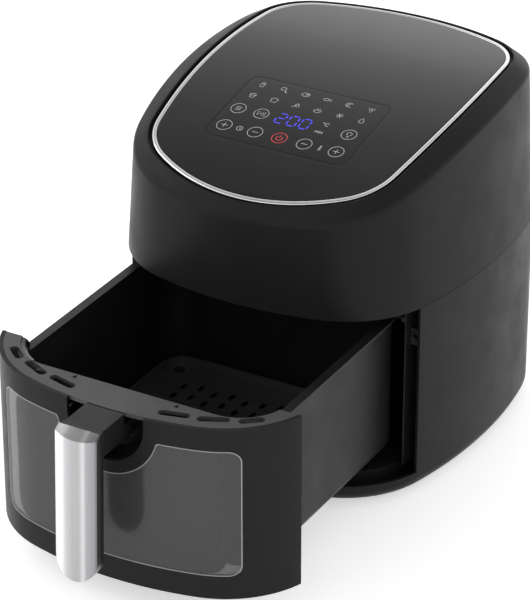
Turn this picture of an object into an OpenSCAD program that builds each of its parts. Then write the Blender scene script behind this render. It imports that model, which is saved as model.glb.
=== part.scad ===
// Drawer air fryer with a window in its drawer, as an assembly of separate parts.
// Millimetres, +Z up, front towards -Y, origin under the body's centre on the surface it stands on.
// The drawer is drawn out at rest, by drawer_pull.

/* [Body] */
// Width of the body
body_w = 283; // [250:1:340]
// Depth of the body without the handle
body_d = 314; // [290:1:380]
// Height of the joint between the lower and the upper housing
seam_z = 163; // [150:1:200]
// Height of the top's highest point above that joint
top_h = 126; // [115:1:152]
// Distance of the highest point behind the body's centre
top_peak_y = 88; // [60:1:110]
// Radius of the top's curve, seen from the side
crown_r = 733; // [600:1:1200]
// Wall of the moulded housings
wall = 2.6; // [2:0.1:3.5]
// Radius of the rounded bottom edge
edge_r = 11; // [8:0.5:14]
// Height of the lip under the drawer front
lip_z = 19; // [16:0.5:20]
// Height of the feet under the body
foot_h = 4; // [3:0.5:6]
// Radius of a foot
foot_r = 9; // [7:0.5:12]

/* [Top] */
// Distance from the body's side to the trim ring, at the sides
ring_side = 31.5; // [26:0.5:40]
// Distance from the body's front to the trim ring
ring_front = 8.5; // [5.5:0.5:12]
// Distance from the body's back to the trim ring
ring_back = 20; // [14:1:40]
// Width of the trim ring
ring_t = 3.4; // [2:0.1:5]
// Width of the groove outside the ring
groove_w = 2.6; // [1.5:0.1:4]
// Width of the lip outside the groove
rim_w = 1.4; // [1:0.1:3]
// Drop of the shoulder edge below the top
shoulder_drop = 11; // [8:0.5:16]
// Width of the touch field
touch_w = 122; // [100:1:150]
// Depth of the touch field
touch_d = 81; // [60:1:100]
// Distance of the touch field's centre in front of the body's centre
touch_y = 55; // [40:1:70]

/* [Drawer] */
// How far the drawer is drawn out at rest
drawer_pull = 181; // [100:1:185]
// Distance from the body's centre to the ends of the drawer front
front_cut = 95; // [85:1:100]
// Height of the drawer front's bottom edge
front_z0 = 20.5; // [20.5:0.5:24]
// Skin of the drawer front
skin = 3; // [2.4:0.1:4]
// Depth of the top band at its middle
band_d = 33.5; // [26:0.5:40]
// Half of the window's width
window_w = 100.5; // [80:0.5:104]
// Bottom edge of the window
window_z0 = 39.5; // [36:0.5:60]
// Top edge of the window
window_z1 = 144.5; // [120:0.5:146]
// Corner radius of the window
window_r = 9; // [4:0.5:14]
// Half of the finger recess's width
recess_w = 32; // [26:0.5:36]
// Distance of the finger recess's centre below the joint of the housings
recess_drop = 10; // [9:0.5:14]
// Depth of the finger recess
recess_d = 17; // [14:0.5:20]

/* [Handle] */
// Width of the grip
grip_w = 35; // [24:0.5:40]
// Distance from the drawer front to the grip's back
grip_gap = 26; // [20:0.5:40]
// Thickness of the grip's dark back
grip_back = 5; // [5:0.5:9]
// Thickness of the bright grip cover
grip_t = 8.5; // [6:0.5:14]
// Bottom end of the grip
grip_z0 = 41; // [25:1:60]
// Angle by which the grip leans forward at its bottom
grip_lean = 2.3; // [0:0.1:4]
// Height of the arm
arm_h = 21; // [14:0.5:26]
// Width of the arm
arm_w = 32; // [20:0.5:36]

/* [Pan] */
// Width of the pan over its rim
pan_w = 220; // [190:1:222]
// Length of the pan
pan_l = 228; // [190:1:230]
// Height of the pan's rim
pan_top = 152.5; // [140:0.5:153]
// Height of the pan's underside
pan_z0 = 34; // [30:0.5:50]
// Wall of the pan
pan_t = 1.6; // [1:0.1:2.5]
// Width of the rim flange
rim_flange = 6; // [4:0.5:8]
// Corner radius of the pan's body under its rim
pan_r = 30; // [20:1:40]
// Corner radius of the pan's rim and of the drawer front's inner edge
rim_r = 38; // [32:1:44]
// Height of the crisper tray above the pan's floor
tray_z = 14; // [10:0.5:24]
// How far the tray lifts while the drawer may be in any place
tray_lift_h = 80; // [40:1:84]

/* [Hot air] */
// Radius of the heater dish
dish_r = 98; // [80:1:102]
// Depth of the heater dish
dish_h = 40; // [34:1:48]
// Distance from the convection fan's edge to the dish's radius
fan_gap = 36; // [32:1:44]
// Radius of the motor shaft
shaft_r = 4; // [3:0.1:5]
// Radial clearance of the shaft in its bearings
shaft_gap = 0.05; // [0.02:0.01:0.1]
// Radius of the motor
motor_r = 28; // [24:1:34]
// Height of the motor
motor_h = 26; // [22:1:30]

/* [Hidden] */
gap = 1.2;             // gap between the drawer front and the housings
fit = 0.3;             // gap round an inset piece
tiny = 0.01;
big = 600;
body_back = body_d / 2;
body_front = -body_d / 2;
top_z = seam_z + top_h;
recess_z = seam_z - recess_drop;
band_z1 = seam_z - 1;
band_z0 = band_z1 - 3;
band_back = body_front + band_d;
pan_front = band_back + 1.4;
pan_mid = pan_front + pan_l / 2;
rail_top = pan_top - pan_t - 0.5;

// An outline runs by its heading, from 0 at the front centre to 180 at the back centre, in five
// tangent arcs: front, front corner, side, back corner, back. The last radius closes it.
body_heads = [0, 15, 76, 100, 155, 180];
body_radii = [266, 82, 413, 80];
ring_heads = [0, 32, 81, 96, 158, 180];
ring_radii = [148, 50, 687, 48];
arc_steps = [3, 8, 5, 8, 4];
headings_of = function (h) concat([for (i = [0:4]) for (k = [0:arc_steps[i] - 1])
    h[i] + (h[i + 1] - h[i]) * k / arc_steps[i]], [180]);
function last_radius(h, r, i = 0) = i > 3 ? 0
    : r[i] * (sin(h[i + 1]) - sin(h[i])) / sin(h[4]) + last_radius(h, r, i + 1);
function run(h, r, a, f, i = 0) = i > 4 || a <= h[i] ? 0
    : r[i] * (f(min(a, h[i + 1])) - f(h[i])) + run(h, r, a, f, i + 1);
across = function (a) sin(a);
along = function (a) -cos(a);
function half_outline(h, r4, w, d, grow) =
    let (r = concat(r4, [last_radius(h, r4)]),
        kx = w / 2 / run(h, r, 90, across), ky = d / run(h, r, 180, along))
    [for (a = headings_of(h)) let (n = [ky * sin(a), -kx * cos(a)])
        [kx * run(h, r, a, across), ky * run(h, r, a, along) - d / 2] + grow * n / norm(n)];
function both_sides(half) = concat(half, [for (i = [len(half) - 2:-1:1]) [-half[i].x, half[i].y]]);
function body_loop(grow = 0) = both_sides(half_outline(body_heads, body_radii, body_w, body_d, grow));
ring_w = body_w - 2 * ring_side;
ring_d = body_d - ring_front - ring_back;
ring_y = (ring_front - ring_back) / 2;
function ring_loop(grow = 0) = [for (p = both_sides(half_outline(ring_heads, ring_radii, ring_w, ring_d,
    grow))) p + [0, ring_y]];
crown_z = function (y) top_z - crown_r + sqrt(crown_r * crown_r - (y - top_peak_y) * (y - top_peak_y));
function level(loop, z) = [for (p = loop) [p.x, p.y, z]];
function on_crown(loop, dz) = [for (p = loop) [p.x, p.y, crown_z(p.y) + dz]];

// Skin through a list of loops of equal length, closed on itself
module skin_through(rings) {
    m = len(rings);
    n = len(rings[0]);
    polyhedron(points = [for (r = rings) each r], faces = [for (i = [0:m - 1]) for (k = [0:n - 1])
        let (j = (i + 1) % m, l = (k + 1) % n) each
        [[i * n + k, j * n + k, j * n + l], [i * n + k, j * n + l, i * n + l]]]);
}
// A sheet of the crowned top, t thick and dz below the top surface
module crown_sheet(dz, t) {
    translate([0, top_peak_y, top_z - crown_r]) rotate([0, 90, 0]) difference() {
        cylinder(r = crown_r - dz, h = big, center = true, $fn = 400);
        cylinder(r = crown_r - dz - t, h = big + 2, center = true, $fn = 400);
    }
}
module rounded(w, d, r) {
    square([w - 2 * r, d], center = true);
    square([w, d - 2 * r], center = true);
    for (x = [-1, 1], y = [-1, 1]) translate([x * (w / 2 - r), y * (d / 2 - r)]) circle(r, $fn = 48);
}
module box(x, y, z) translate([x[0], y[0], z[0]]) cube([x[1] - x[0], y[1] - y[0], z[1] - z[0]]);
module rod_z(r, z0, z1, fn = 32) translate([0, 0, z0]) cylinder(r = r, h = z1 - z0, $fn = fn);
module slab(loop, z0, z1) translate([0, 0, z0]) linear_extrude(z1 - z0) polygon(loop);
// A shape drawn in X and Z, as a plate from y0 to y1
module plate_y(y0, y1) translate([0, y1, 0]) rotate([90, 0, 0]) linear_extrude(y1 - y0) children();
module drawn_out() translate([0, -drawer_pull, 0]) children();
module mirrored() {
    children();
    mirror([1, 0, 0]) children();
}

/* ---- housings ---- */
bottom_z = foot_h;
floor_z = bottom_z + wall;
rim_grow = ring_t / 2 + groove_w + rim_w;
groove_depth = 4;
groove_in = 3;          // the groove's inner wall stands this far in from the lip's outside
rim_lift = 0.4;         // the lip stands this much above the crown
shoulder_side_drop = 6;
shoulder_in = 0.6;
shoulder_side = 10;     // how far the shoulder edge stands in at the sides
function shoulder_loop(extra = 0) = [for (i = [0:len(body_loop()) - 1]) let (p = body_loop(-shoulder_in - extra)[i],
    side = abs(p.x) / (body_w / 2)) [p.x - sign(p.x) * shoulder_side * side * side, p.y,
    crown_z(p.y) - shoulder_drop + (shoulder_drop - shoulder_side_drop) * side * side]];
function lowered(ring, dz) = [for (p = ring) p - [0, 0, dz]];
module upper_housing() {
    in = wall;
    color([0.11, 0.11, 0.115]) skin_through([level(body_loop(), seam_z), shoulder_loop(),
        on_crown(ring_loop(rim_grow), rim_lift), on_crown(ring_loop(rim_grow - rim_w), rim_lift),
        on_crown(ring_loop(rim_grow - rim_w), -groove_depth), on_crown(ring_loop(-ring_t), -groove_depth),
        on_crown(ring_loop(-ring_t), -groove_depth - in),
        on_crown(ring_loop(rim_grow - groove_in), -groove_depth - in),
        lowered(shoulder_loop(in), in + 2), level(body_loop(-in), seam_z)]);
}
bottom_steps = 5;
function bottom_arc(inner) = [for (k = [0:bottom_steps]) let (a = 90 * k / bottom_steps,
    r = edge_r - inner * wall) level(body_loop(-edge_r + r * cos(a)), bottom_z + edge_r - r * sin(a))];
base_inset = edge_r + 3;
deck_inset = 22;
base_vents = 9;
base_vent = [5, 60];
base_vent_pitch = 12;
base_vent_y = 20;
screw_hole = 1.6;       // radius of a hole for a small screw
peg_in = 2;             // the foot's peg is this much smaller and goes this far into the base
module lower_housing() {
    color([0.12, 0.12, 0.125]) difference() {
        skin_through(concat([level(body_loop(), seam_z)], bottom_arc(0), [level(body_loop(-base_inset), bottom_z),
            level(body_loop(-base_inset), floor_z)], [for (k = [bottom_steps:-1:0]) bottom_arc(1)[k]],
            [level(body_loop(-wall), seam_z)]));
        box([-big, big], [-big, gap - front_cut], [lip_z, big]);
        cable_hole();
        exhaust_hole();
    }
}
module base_plate() {
    color([0.1, 0.1, 0.1]) difference() {
        union() {
            slab(body_loop(-base_inset - fit), bottom_z, floor_z);
            difference() {
                slab(body_loop(-deck_inset), floor_z, lip_z);
                slab(body_loop(-deck_inset - wall), floor_z - 1, lip_z - wall);
            }
        }
        for (p = foot_places) translate([p.x, p.y, 0])
            rod_z(foot_r - peg_in + fit / 3, bottom_z - 1, bottom_z + peg_in);
        for (p = screw_places) translate([p.x, p.y, 0]) rod_z(screw_hole, bottom_z - 1, floor_z + 1);
        for (i = [0:base_vents - 1])
            translate([(i - (base_vents - 1) / 2) * base_vent_pitch, base_vent_y, bottom_z - 1])
                linear_extrude(wall + 2) rounded(base_vent[0], base_vent[1], base_vent[0] / 2 - 0.1);
    }
}
foot_x = 0.307 * body_w;
foot_back = 0.36 * body_d;
foot_front = -foot_back;
screw_from_foot = [12, 30];
foot_places = [for (x = [-foot_x, foot_x], y = [foot_front, foot_back]) [x, y]];
screw_places = [for (x = [-1, 1], y = [-1, 1])
    [x * (foot_x + screw_from_foot[0]), y * (foot_back - screw_from_foot[1])]];
module rubber_feet() color([0.06, 0.06, 0.06]) for (p = foot_places) translate([p.x, p.y, 0]) {
    rod_z(foot_r, 0, bottom_z);
    rod_z(foot_r - peg_in, bottom_z - tiny, bottom_z + peg_in);
}
module base_screws() color("silver") for (p = screw_places) translate([p.x, p.y, 0]) {
    rod_z(2 * screw_hole, bottom_z - 1.2, bottom_z);
    rod_z(screw_hole - 0.1, bottom_z - tiny, floor_z + 6);
}

/* ---- top ---- */
panel_t = 3;
touch_t = 2.4;
touch_r = 8;            // corner radius of the touch field
ring_lift = 0.5;        // the trim ring stands this much above the crown
module top_panel() color([0.14, 0.14, 0.145]) intersection() {
    difference() {
        slab(ring_loop(-ring_t / 2 - fit / 2), seam_z, big);
        translate([0, -touch_y, seam_z - 1]) linear_extrude(big) rounded(touch_w, touch_d, touch_r);
    }
    crown_sheet(0, panel_t);
}
module trim_ring() color([0.85, 0.86, 0.87]) intersection() {
    difference() {
        slab(ring_loop(ring_t / 2), seam_z, big);
        slab(ring_loop(-ring_t / 2), seam_z - 1, big + 1);
    }
    crown_sheet(-ring_lift, groove_depth + 0.1);
}
module touch_window() color([0.09, 0.09, 0.095]) intersection() {
    translate([0, -touch_y, seam_z]) linear_extrude(big) rounded(touch_w - fit, touch_d - fit, touch_r - fit / 2);
    crown_sheet(0, touch_t);
}
touch_tilt = asin((top_peak_y + touch_y) / crown_r);
module on_touch_plane(below) translate([0, -touch_y, crown_z(-touch_y) - below]) rotate([touch_tilt, 0, 0])
    children();
board_below = 11;
board_t = 1.6;
board_edge = 4;         // the touch board ends this far inside the touch field
display_size = [46, 18, 6.5];
module touch_board() color([0.1, 0.3, 0.18]) on_touch_plane(board_below) difference() {
    linear_extrude(board_t) rounded(touch_w - 2 * board_edge, touch_d - 2 * board_edge, 3);
    for (x = [-1, 1], y = [-1, 1])
        translate([x * (touch_w / 2 - 2 * board_edge), y * (touch_d / 2 - 2 * board_edge), -1])
            rod_z(screw_hole, 0, board_t + 2);
}
module display_module() color([0.05, 0.05, 0.1]) on_touch_plane(board_below) translate([0, 0, board_t])
    linear_extrude(display_size[2]) rounded(display_size[0], display_size[1], 1);

/* ---- chamber ---- */
liner_t = 1;
liner_x = pan_w / 2 + 5;        // 5 mm beside the pan's rim
liner_y0 = 3 - front_cut;
liner_y1 = pan_front + pan_l + rim_flange + 3;
liner_z0 = lip_z + 2;
liner_z1 = seam_z - 2;
air_hole_r = dish_r - 6;
lamp_x = air_hole_r + 11;
bracket_hole_x = liner_x - 12;  // holes over the rails, to screw the liner up
bracket_hole_y = 30;
liner_mid = (liner_y0 + liner_y1) / 2;
module chamber_liner() color([0.35, 0.35, 0.36]) difference() {
    box([-liner_x, liner_x], [liner_y0, liner_y1], [liner_z0, liner_z1]);
    box([-liner_x + liner_t, liner_x - liner_t], [liner_y0 - 1, liner_y1 - liner_t],
        [liner_z0 - 1, liner_z1 - liner_t]);
    translate([0, liner_mid, 0]) rod_z(air_hole_r, liner_z1 - 2, liner_z1 + 1, 96);
    translate([lamp_x, lamp_y, 0]) rod_z(lamp_r + fit / 3, liner_z1 - 3, liner_z1 + 1);
    box([liner_x - 2, liner_x + 1], switch_y, switch_z);
    for (x = [-1, 1], y = [-1, 1]) translate([x * bracket_hole_x, liner_mid + y * bracket_hole_y, 0])
        rod_z(screw_hole, liner_z1 - 2, liner_z1 + 1);
}
rail_h = 4;
rail_t = 1.2;
rail_web = 3;
rail_end = 8;           // the rail stops this far before the liner's back
module rail() difference() {
    box([pan_w / 2 - rim_flange + 1.5, liner_x - liner_t], [liner_y0, liner_y1 - rail_end],
        [rail_top - rail_h, rail_top]);
    box([0, liner_x - liner_t - rail_web], [-big, big], [rail_top - rail_h - 1, rail_top - rail_t]);
}
module left_rail() color([0.6, 0.6, 0.62]) mirror([1, 0, 0]) rail();
module right_rail() color([0.6, 0.6, 0.62]) rail();
dish_z = liner_z1;
dish_top = dish_z + dish_h;
dish_t = 1.2;
axis_y = liner_mid;
dish_lean = 16;         // how far the dish's wall leans in over its height
dish_out = function (z) air_hole_r + 4 - dish_lean * (z - dish_z - dish_t) / (dish_h - dish_t);
module on_axis() translate([0, axis_y, 0]) children();
dish_flange = 6;
shaft_way = shaft_r + 4;        // radius of the dish's hole for the shaft
bracket_foot = motor_r + 12;    // the motor bracket is screwed down at this radius
module heater_dish() color([0.75, 0.75, 0.76]) on_axis() difference() {
    rotate_extrude($fn = 120) polygon([[air_hole_r, dish_z], [dish_r + dish_flange, dish_z],
        [dish_r + dish_flange, dish_z + dish_t], [dish_out(dish_z + dish_t), dish_z + dish_t],
        [dish_out(dish_top), dish_top], [shaft_way, dish_top], [shaft_way, dish_top - dish_t],
        [dish_out(dish_top) - 1, dish_top - dish_t]]);
    for (a = [0:3]) rotate(45 + 90 * a) translate([bracket_foot, 0, 0]) rod_z(screw_hole, dish_top - 3, dish_top + 2);
    for (x = [-terminal_x, terminal_x]) translate([x, terminal_y, 0]) rod_z(tube_r, dish_top - 3, dish_top + 2);
}
blanket_t = 10;
module insulation_blanket() color([0.8, 0.78, 0.7]) on_axis() {
    z0 = dish_z + dish_t + 0.6;
    z1 = dish_top - 4;      // it ends below the dish's top edge
    rotate_extrude($fn = 96) polygon([[dish_out(z0) + fit, z0], [dish_out(z0) + blanket_t, z0],
        [dish_out(z1) + blanket_t, z1], [dish_out(z1) + fit, z1]]);
}
coil_z = dish_z + 9;
tube_r = 3.2;
coil_pitch = 14;
coil_turns = [3.4, 2.4, 1.4];   // coils, in pitches in from the air hole's edge
coil_radii = [for (i = coil_turns) air_hole_r - i * coil_pitch];
terminal_x = 8;
terminal_y = 0.5 - coil_radii[2];
module tube_ring(r) rotate_extrude($fn = 96) translate([r, 0]) circle(tube_r, $fn = 24);
module heating_element() color([0.35, 0.34, 0.33]) on_axis() translate([0, 0, coil_z]) {
    for (r = coil_radii) tube_ring(r);
    for (a = [0, 180]) rotate(a) translate([coil_radii[0], 0, 0]) rotate([0, 90, 0])
        cylinder(r = tube_r * 0.8, h = coil_radii[2] - coil_radii[0], $fn = 24);
    for (x = [-terminal_x, terminal_x]) translate([x, terminal_y, 0]) rod_z(tube_r - 0.4, 0, dish_h - 3, 24);
}
holder_over = 6;        // a holder reaches this far past the coils
holder_w = 6;
module element_holders() color([0.9, 0.88, 0.82]) on_axis() for (a = [45, 135, 225, 315]) rotate(a)
    difference() {
        box([coil_radii[0] - holder_over, coil_radii[2] + holder_over], [-holder_w / 2, holder_w / 2],
            [coil_z - 2, coil_z + 8]);
        translate([0, 0, coil_z]) for (r = coil_radii) rotate_extrude($fn = 96) translate([r, 0])
            circle(tube_r + fit / 2, $fn = 24);
    }
grille_z = dish_z - 1;
wire_r = 1.1;
wire_r0 = 22;           // radius of the innermost ring of the guard
wire_pitch = 14;
module guard_grille() color([0.7, 0.7, 0.7]) on_axis() {
    for (r = [wire_r0:wire_pitch:air_hole_r - 4]) rotate_extrude($fn = 72) translate([r, grille_z])
        circle(wire_r, $fn = 16);
    for (a = [0:5]) rotate(60 * a) translate([wire_r0 - 4, 0, grille_z + 1.4]) rotate([0, 90, 0])
        cylinder(r = wire_r - 0.1, h = air_hole_r - wire_r0 + 2, $fn = 16);
}

/* ---- fans and motor ---- */
motor_z = dish_top + 19;
plate_t = 2;            // sheet of the motor bracket
leg_w = 10;
leg_x = motor_r + 6;
module motor_bracket() color([0.65, 0.65, 0.66]) on_axis() difference() {
    union() {
        rod_z(motor_r + 3, motor_z - plate_t, motor_z, 72);
        for (a = [0:3]) rotate(45 + 90 * a) {
            box([motor_r - 4, leg_x + plate_t], [-leg_w / 2, leg_w / 2], [motor_z - plate_t, motor_z]);
            box([leg_x, leg_x + plate_t], [-leg_w / 2, leg_w / 2], [dish_top, motor_z]);
            box([leg_x, bracket_foot + leg_w / 2], [-leg_w / 2, leg_w / 2], [dish_top, dish_top + plate_t]);
        }
    }
    rod_z(shaft_r + 3, motor_z - 3, motor_z + 1);
    for (a = [0:3]) rotate(45 + 90 * a) translate([bracket_foot, 0, 0]) rod_z(screw_hole, dish_top - 1, dish_top + 3);
}
boss_r = 9;             // bearing boss on the motor's back
boss_h = 4;
module motor() color([0.55, 0.56, 0.58]) on_axis() difference() {
    union() {
        rod_z(motor_r, motor_z, motor_z + motor_h, 72);
        rod_z(boss_r, motor_z + motor_h - tiny, motor_z + motor_h + boss_h, 48);
    }
    rod_z(shaft_r + shaft_gap, motor_z - 1, motor_z + motor_h + boss_h + 1, 48);
}
fan_r = dish_r - fan_gap;
fan_z = dish_z + 20;
fan_h = 15;
fan_t = 1.2;
fan_blades = 12;
fan_lean = 12;
hub_r = 11;
module motor_shaft() color([0.8, 0.8, 0.82]) on_axis() rod_z(shaft_r, fan_z - 3, motor_z + motor_h + 3, 48);
module blades(n, r0, r1, t, z0, z1, lean) for (i = [0:n - 1]) rotate(360 * i / n) translate([r0, 0, 0])
    rotate(lean) box([0, r1 - r0], [-t / 2, t / 2], [z0, z1]);
module convection_fan() color([0.72, 0.72, 0.73]) on_axis() difference() {
    union() {
        rod_z(fan_r, fan_z + fan_h, fan_z + fan_h + fan_t, 96);
        rod_z(hub_r, fan_z, fan_z + fan_h + 1, 48);
        blades(fan_blades, hub_r + 5, fan_r - 4, 1, fan_z, fan_z + fan_h + tiny, fan_lean);
    }
    rod_z(shaft_r, fan_z - 1, fan_z + fan_h + 3, 48);
}
cool_z = dish_top + 5;
cool_h = 9;
cool_r = motor_r - 2;
cool_blades = 11;
cool_lean = 25;
module cooling_fan() color([0.2, 0.2, 0.2]) on_axis() difference() {
    union() {
        rod_z(cool_r, cool_z, cool_z + 1, 72);
        rod_z(hub_r, cool_z, cool_z + cool_h, 48);
        blades(cool_blades, hub_r - 1, cool_r - 2, 1.2, cool_z + tiny, cool_z + cool_h, cool_lean);
    }
    rod_z(shaft_r, cool_z - 1, cool_z + cool_h + 1, 48);
}
cutout_x = 52;
cutout_r = 8;
cutout_ear = 11;
sensor_r = 5;
sensor_h = 4;
module thermal_cutout() color([0.85, 0.82, 0.7]) translate([-cutout_x, axis_y, 0]) {
    rod_z(cutout_r, dish_top, dish_top + 7);
    box([-cutout_ear, cutout_ear], [-2.5, 2.5], [dish_top, dish_top + 1.2]);
}
module air_sensor() color([0.8, 0.8, 0.82]) translate([cutout_x, axis_y, 0]) {
    rod_z(sensor_r, dish_top, dish_top + sensor_h);
    rod_z(sensor_r - 3, dish_top + sensor_h - tiny, dish_top + 3 * sensor_h);
}
lamp_r = 5;
lamp_h = 12;
lamp_y = liner_mid - 72;
module oven_lamp() color([0.95, 0.9, 0.7]) translate([lamp_x, lamp_y, 0]) {
    rod_z(lamp_r + 4, liner_z1, liner_z1 + lamp_h);
    rod_z(lamp_r - 1.6, liner_z1 - 4, liner_z1 + tiny);
}
module lamp_glass() color([0.9, 0.95, 1, 0.5]) translate([lamp_x, lamp_y, 0]) difference() {
    rod_z(lamp_r, liner_z1 - 7, liner_z1);
    rod_z(lamp_r - 1.2, liner_z1 - 5.6, liner_z1 + 1);
}

/* ---- electrics ---- */
tray_y0 = axis_y + dish_r + 10;
board_z = liner_z1 + 14;
board_w = 104;
board_h = 62;
sheet_t = 2;            // the board's tray
post_d = 3;             // its posts hold the board this far off
post_w = 4;
board_y = tray_y0 + sheet_t + post_d;
part_y = board_y + board_t - 0.1;
module board_tray() color([0.15, 0.15, 0.16]) {
    box([-board_w / 2, board_w / 2], [tray_y0, tray_y0 + sheet_t], [board_z - 12, board_z + board_h]);
    for (x = [-board_w / 2 + 6, board_w / 2 - 10], z = [board_z + 4, board_z + board_h - 10])
        box([x, x + post_w], [tray_y0 + sheet_t - tiny, board_y], [z, z + post_w]);
}
module power_board() color([0.12, 0.35, 0.2]) {
    box([-board_w / 2 + 4, board_w / 2 - 4], [board_y, board_y + board_t], [board_z, board_z + board_h - 4]);
    // relay, transformer, terminals and capacitors
    box([-40, -20], [part_y, part_y + 9.5], [board_z + 6, board_z + 22]);
    box([-12, 14], [part_y, part_y + 11.5], [board_z + 8, board_z + 30]);
    for (i = [0:3]) box([22 + 6 * i, 25 + 6 * i], [part_y, part_y + 6.5], [board_z + 4, board_z + 12]);
    for (z = [38, 50]) translate([-30, part_y, board_z + z]) rotate([-90, 0, 0]) cylinder(r = 4.5, h = 10, $fn = 32);
}
switch_travel = 3;
switch_size = [8, 20, 14];
switch_y = [liner_y0 + 8, liner_y0 + 8 + switch_size[1]];
switch_z = [rail_top - 26, rail_top - 26 + switch_size[2]];
switch_mid = (switch_z[0] + switch_z[1]) / 2;
plunger_r = 2;
plunger_l = 12;
plunger_gap = 0.08;
switch_x = liner_x + switch_size[0] / 2;
module switch_body() color([0.1, 0.1, 0.11]) difference() {
    box([liner_x + 0.2, liner_x + switch_size[0]], switch_y, switch_z);
    translate([switch_x, switch_y[0] - 1, switch_mid]) rotate([-90, 0, 0])
        cylinder(r = plunger_r + plunger_gap, h = plunger_l + 1, $fn = 32);
}
module switch_plunger() color([0.1, 0.1, 0.11]) translate([switch_x, switch_y[0] - switch_travel - 1, switch_mid])
    rotate([-90, 0, 0]) cylinder(r = plunger_r, h = plunger_l, $fn = 32);
gland_x = -70;
gland_z = 48;
cable_r = 7;            // radius of the housing's hole for the gland
cord_r = 3.6;           // radius of the gland's bore
gland_r = 10;
gland_out = 2.4;        // the gland stands out of the housing by this much
module cable_hole() translate([gland_x, 0, gland_z]) rotate([-90, 0, 0]) cylinder(r = cable_r, h = big, $fn = 48);
module cord_gland() color([0.08, 0.08, 0.08]) intersection() {
    translate([gland_x, 0, gland_z]) rotate([-90, 0, 0]) difference() {
        union() {
            cylinder(r = cable_r - 0.1, h = big, $fn = 48);
            difference() {
                cylinder(r = gland_r, h = big, $fn = 48);
                translate([0, 0, -1]) linear_extrude(big) circle(cable_r - 0.1, $fn = 48);
            }
        }
        translate([0, 0, -1]) cylinder(r = cord_r, h = big + 2, $fn = 48);
    }
    difference() {
        slab(body_loop(gland_out), gland_z - 30, gland_z + 30);
        slab(body_loop(-wall), gland_z - 31, gland_z + 31);
        difference() {
            slab(body_loop(0.05), gland_z - 32, gland_z + 32);
            translate([gland_x, 0, gland_z]) rotate([-90, 0, 0]) cylinder(r = cable_r - 0.1, h = big, $fn = 48);
        }
    }
}
vent_w = 96;
vent_h = 56;
vent_z = 118;
vent_r = 6;
louvres = 3;            // louvres above and below the middle one
louvre_h = 3.4;
louvre_pitch = 7;
module exhaust_hole() plate_y(body_back - 30, body_back + 10) translate([0, vent_z])
    rounded(vent_w, vent_h, vent_r);
module exhaust_grille() color([0.1, 0.1, 0.105]) intersection() {
    difference() {
        slab(body_loop(), vent_z - vent_h, vent_z + vent_h);
        slab(body_loop(-wall), vent_z - vent_h - 1, vent_z + vent_h + 1);
    }
    plate_y(body_back - 30, body_back + 10) difference() {
        translate([0, vent_z]) rounded(vent_w - fit, vent_h - fit, vent_r - fit / 2);
        for (i = [-louvres:louvres], s = [-1, 1]) translate([s * vent_w / 4, vent_z + i * louvre_pitch])
            rounded(vent_w / 2 - 10, louvre_h, louvre_h / 2 - 0.1);
    }
}

/* ---- drawer front, drawn shut and moved out at the end ---- */
module front_part(grow0, grow1, z0, z1) difference() {
    slab(body_loop(grow0), z0, z1);
    slab(body_loop(grow1), z0 - 1, z1 + 1);
    box([-big, big], [-front_cut, big], [z0 - 2, z1 + 2]);
}
window_mid = (window_z0 + window_z1) / 2;
arch_r = recess_w + 10;         // the window's arch runs round the recess
front_ledge = 10;
ledge_t = 2.5;
module window_shape(grow) difference() {
    translate([0, window_mid]) rounded(2 * (window_w + grow), window_z1 - window_z0 + 2 * grow, window_r + grow);
    translate([0, recess_z]) circle(arch_r - grow, $fn = 96);
}
module recess_shape(grow) translate([0, recess_z]) union() {
    circle(recess_w + grow, $fn = 96);
    translate([-recess_w - grow, 0]) square([2 * (recess_w + grow), big]);
}
module fascia_shell() color([0.12, 0.12, 0.125]) drawn_out() difference() {
    union() {
        front_part(0, -skin, front_z0, band_z1);
        front_part(-skin + tiny, -skin - front_ledge, front_z0, front_z0 + ledge_t);
    }
    plate_y(body_front - 5, -front_cut - 10) window_shape(0);
    plate_y(body_front - 5, -front_cut - 10) recess_shape(0);
}
// Slots beside the handle: across, behind the front, length and turn
slot_places = [[47, 19.5, 24, 14], [75, 27, 24, 25], [99.5, 39, 19, 40]];
slot_w = 7;
skirt_t = 2.5;
skirt_gap = 0.4;        // between the skirt's lower edge and the pan's rim
rim_gap = 0.5;          // round the pan's rim
corner_lip = 6;         // width of the lip over the rim's corners
lip_x = 84;             // the lip begins this far out from the middle
lip_top = band_z1 - 1;
mark_x = 43;
mark_back = 3.4;
mark_shape = [[-2.2, -2], [2.2, -2], [0, 2.4]];
module rim_plan(grow) translate([0, band_back + big / 2 - grow])
    rounded(pan_w + 2 * rim_gap + 2 * grow, big, rim_r + grow);
module band_floor() difference() {
    polygon(body_loop(-skin - fit));
    translate([-big, -front_cut]) square(2 * big);
    rim_plan(0);
}
module fascia_band() color([0.2, 0.2, 0.205]) drawn_out() {
    translate([0, 0, band_z0]) linear_extrude(band_z1 - band_z0) difference() {
        band_floor();
        for (s = slot_places, m = [-1, 1]) translate([m * s[0], body_front + s[1]]) rotate(m * s[3])
            rounded(s[2], slot_w, slot_w / 2 - 0.2);
        for (m = [-1, 1]) translate([m * mark_x, band_back - mark_back]) polygon(mark_shape);
    }
    // A skirt closes the step from the strip down to the pan's rim, with a lip over the rim's corners
    translate([0, 0, pan_top + skirt_gap]) linear_extrude(band_z0 - pan_top - skirt_gap + tiny) intersection() {
        band_floor();
        rim_plan(skirt_t);
    }
    translate([0, 0, pan_top + skirt_gap]) linear_extrude(lip_top - pan_top - skirt_gap) mirrored() difference() {
        rim_plan(tiny);
        rim_plan(-corner_lip);
        translate([-big, -front_cut]) square(2 * big);
        translate([-big, -big]) square([big + lip_x, 2 * big]);
    }
}
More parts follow.
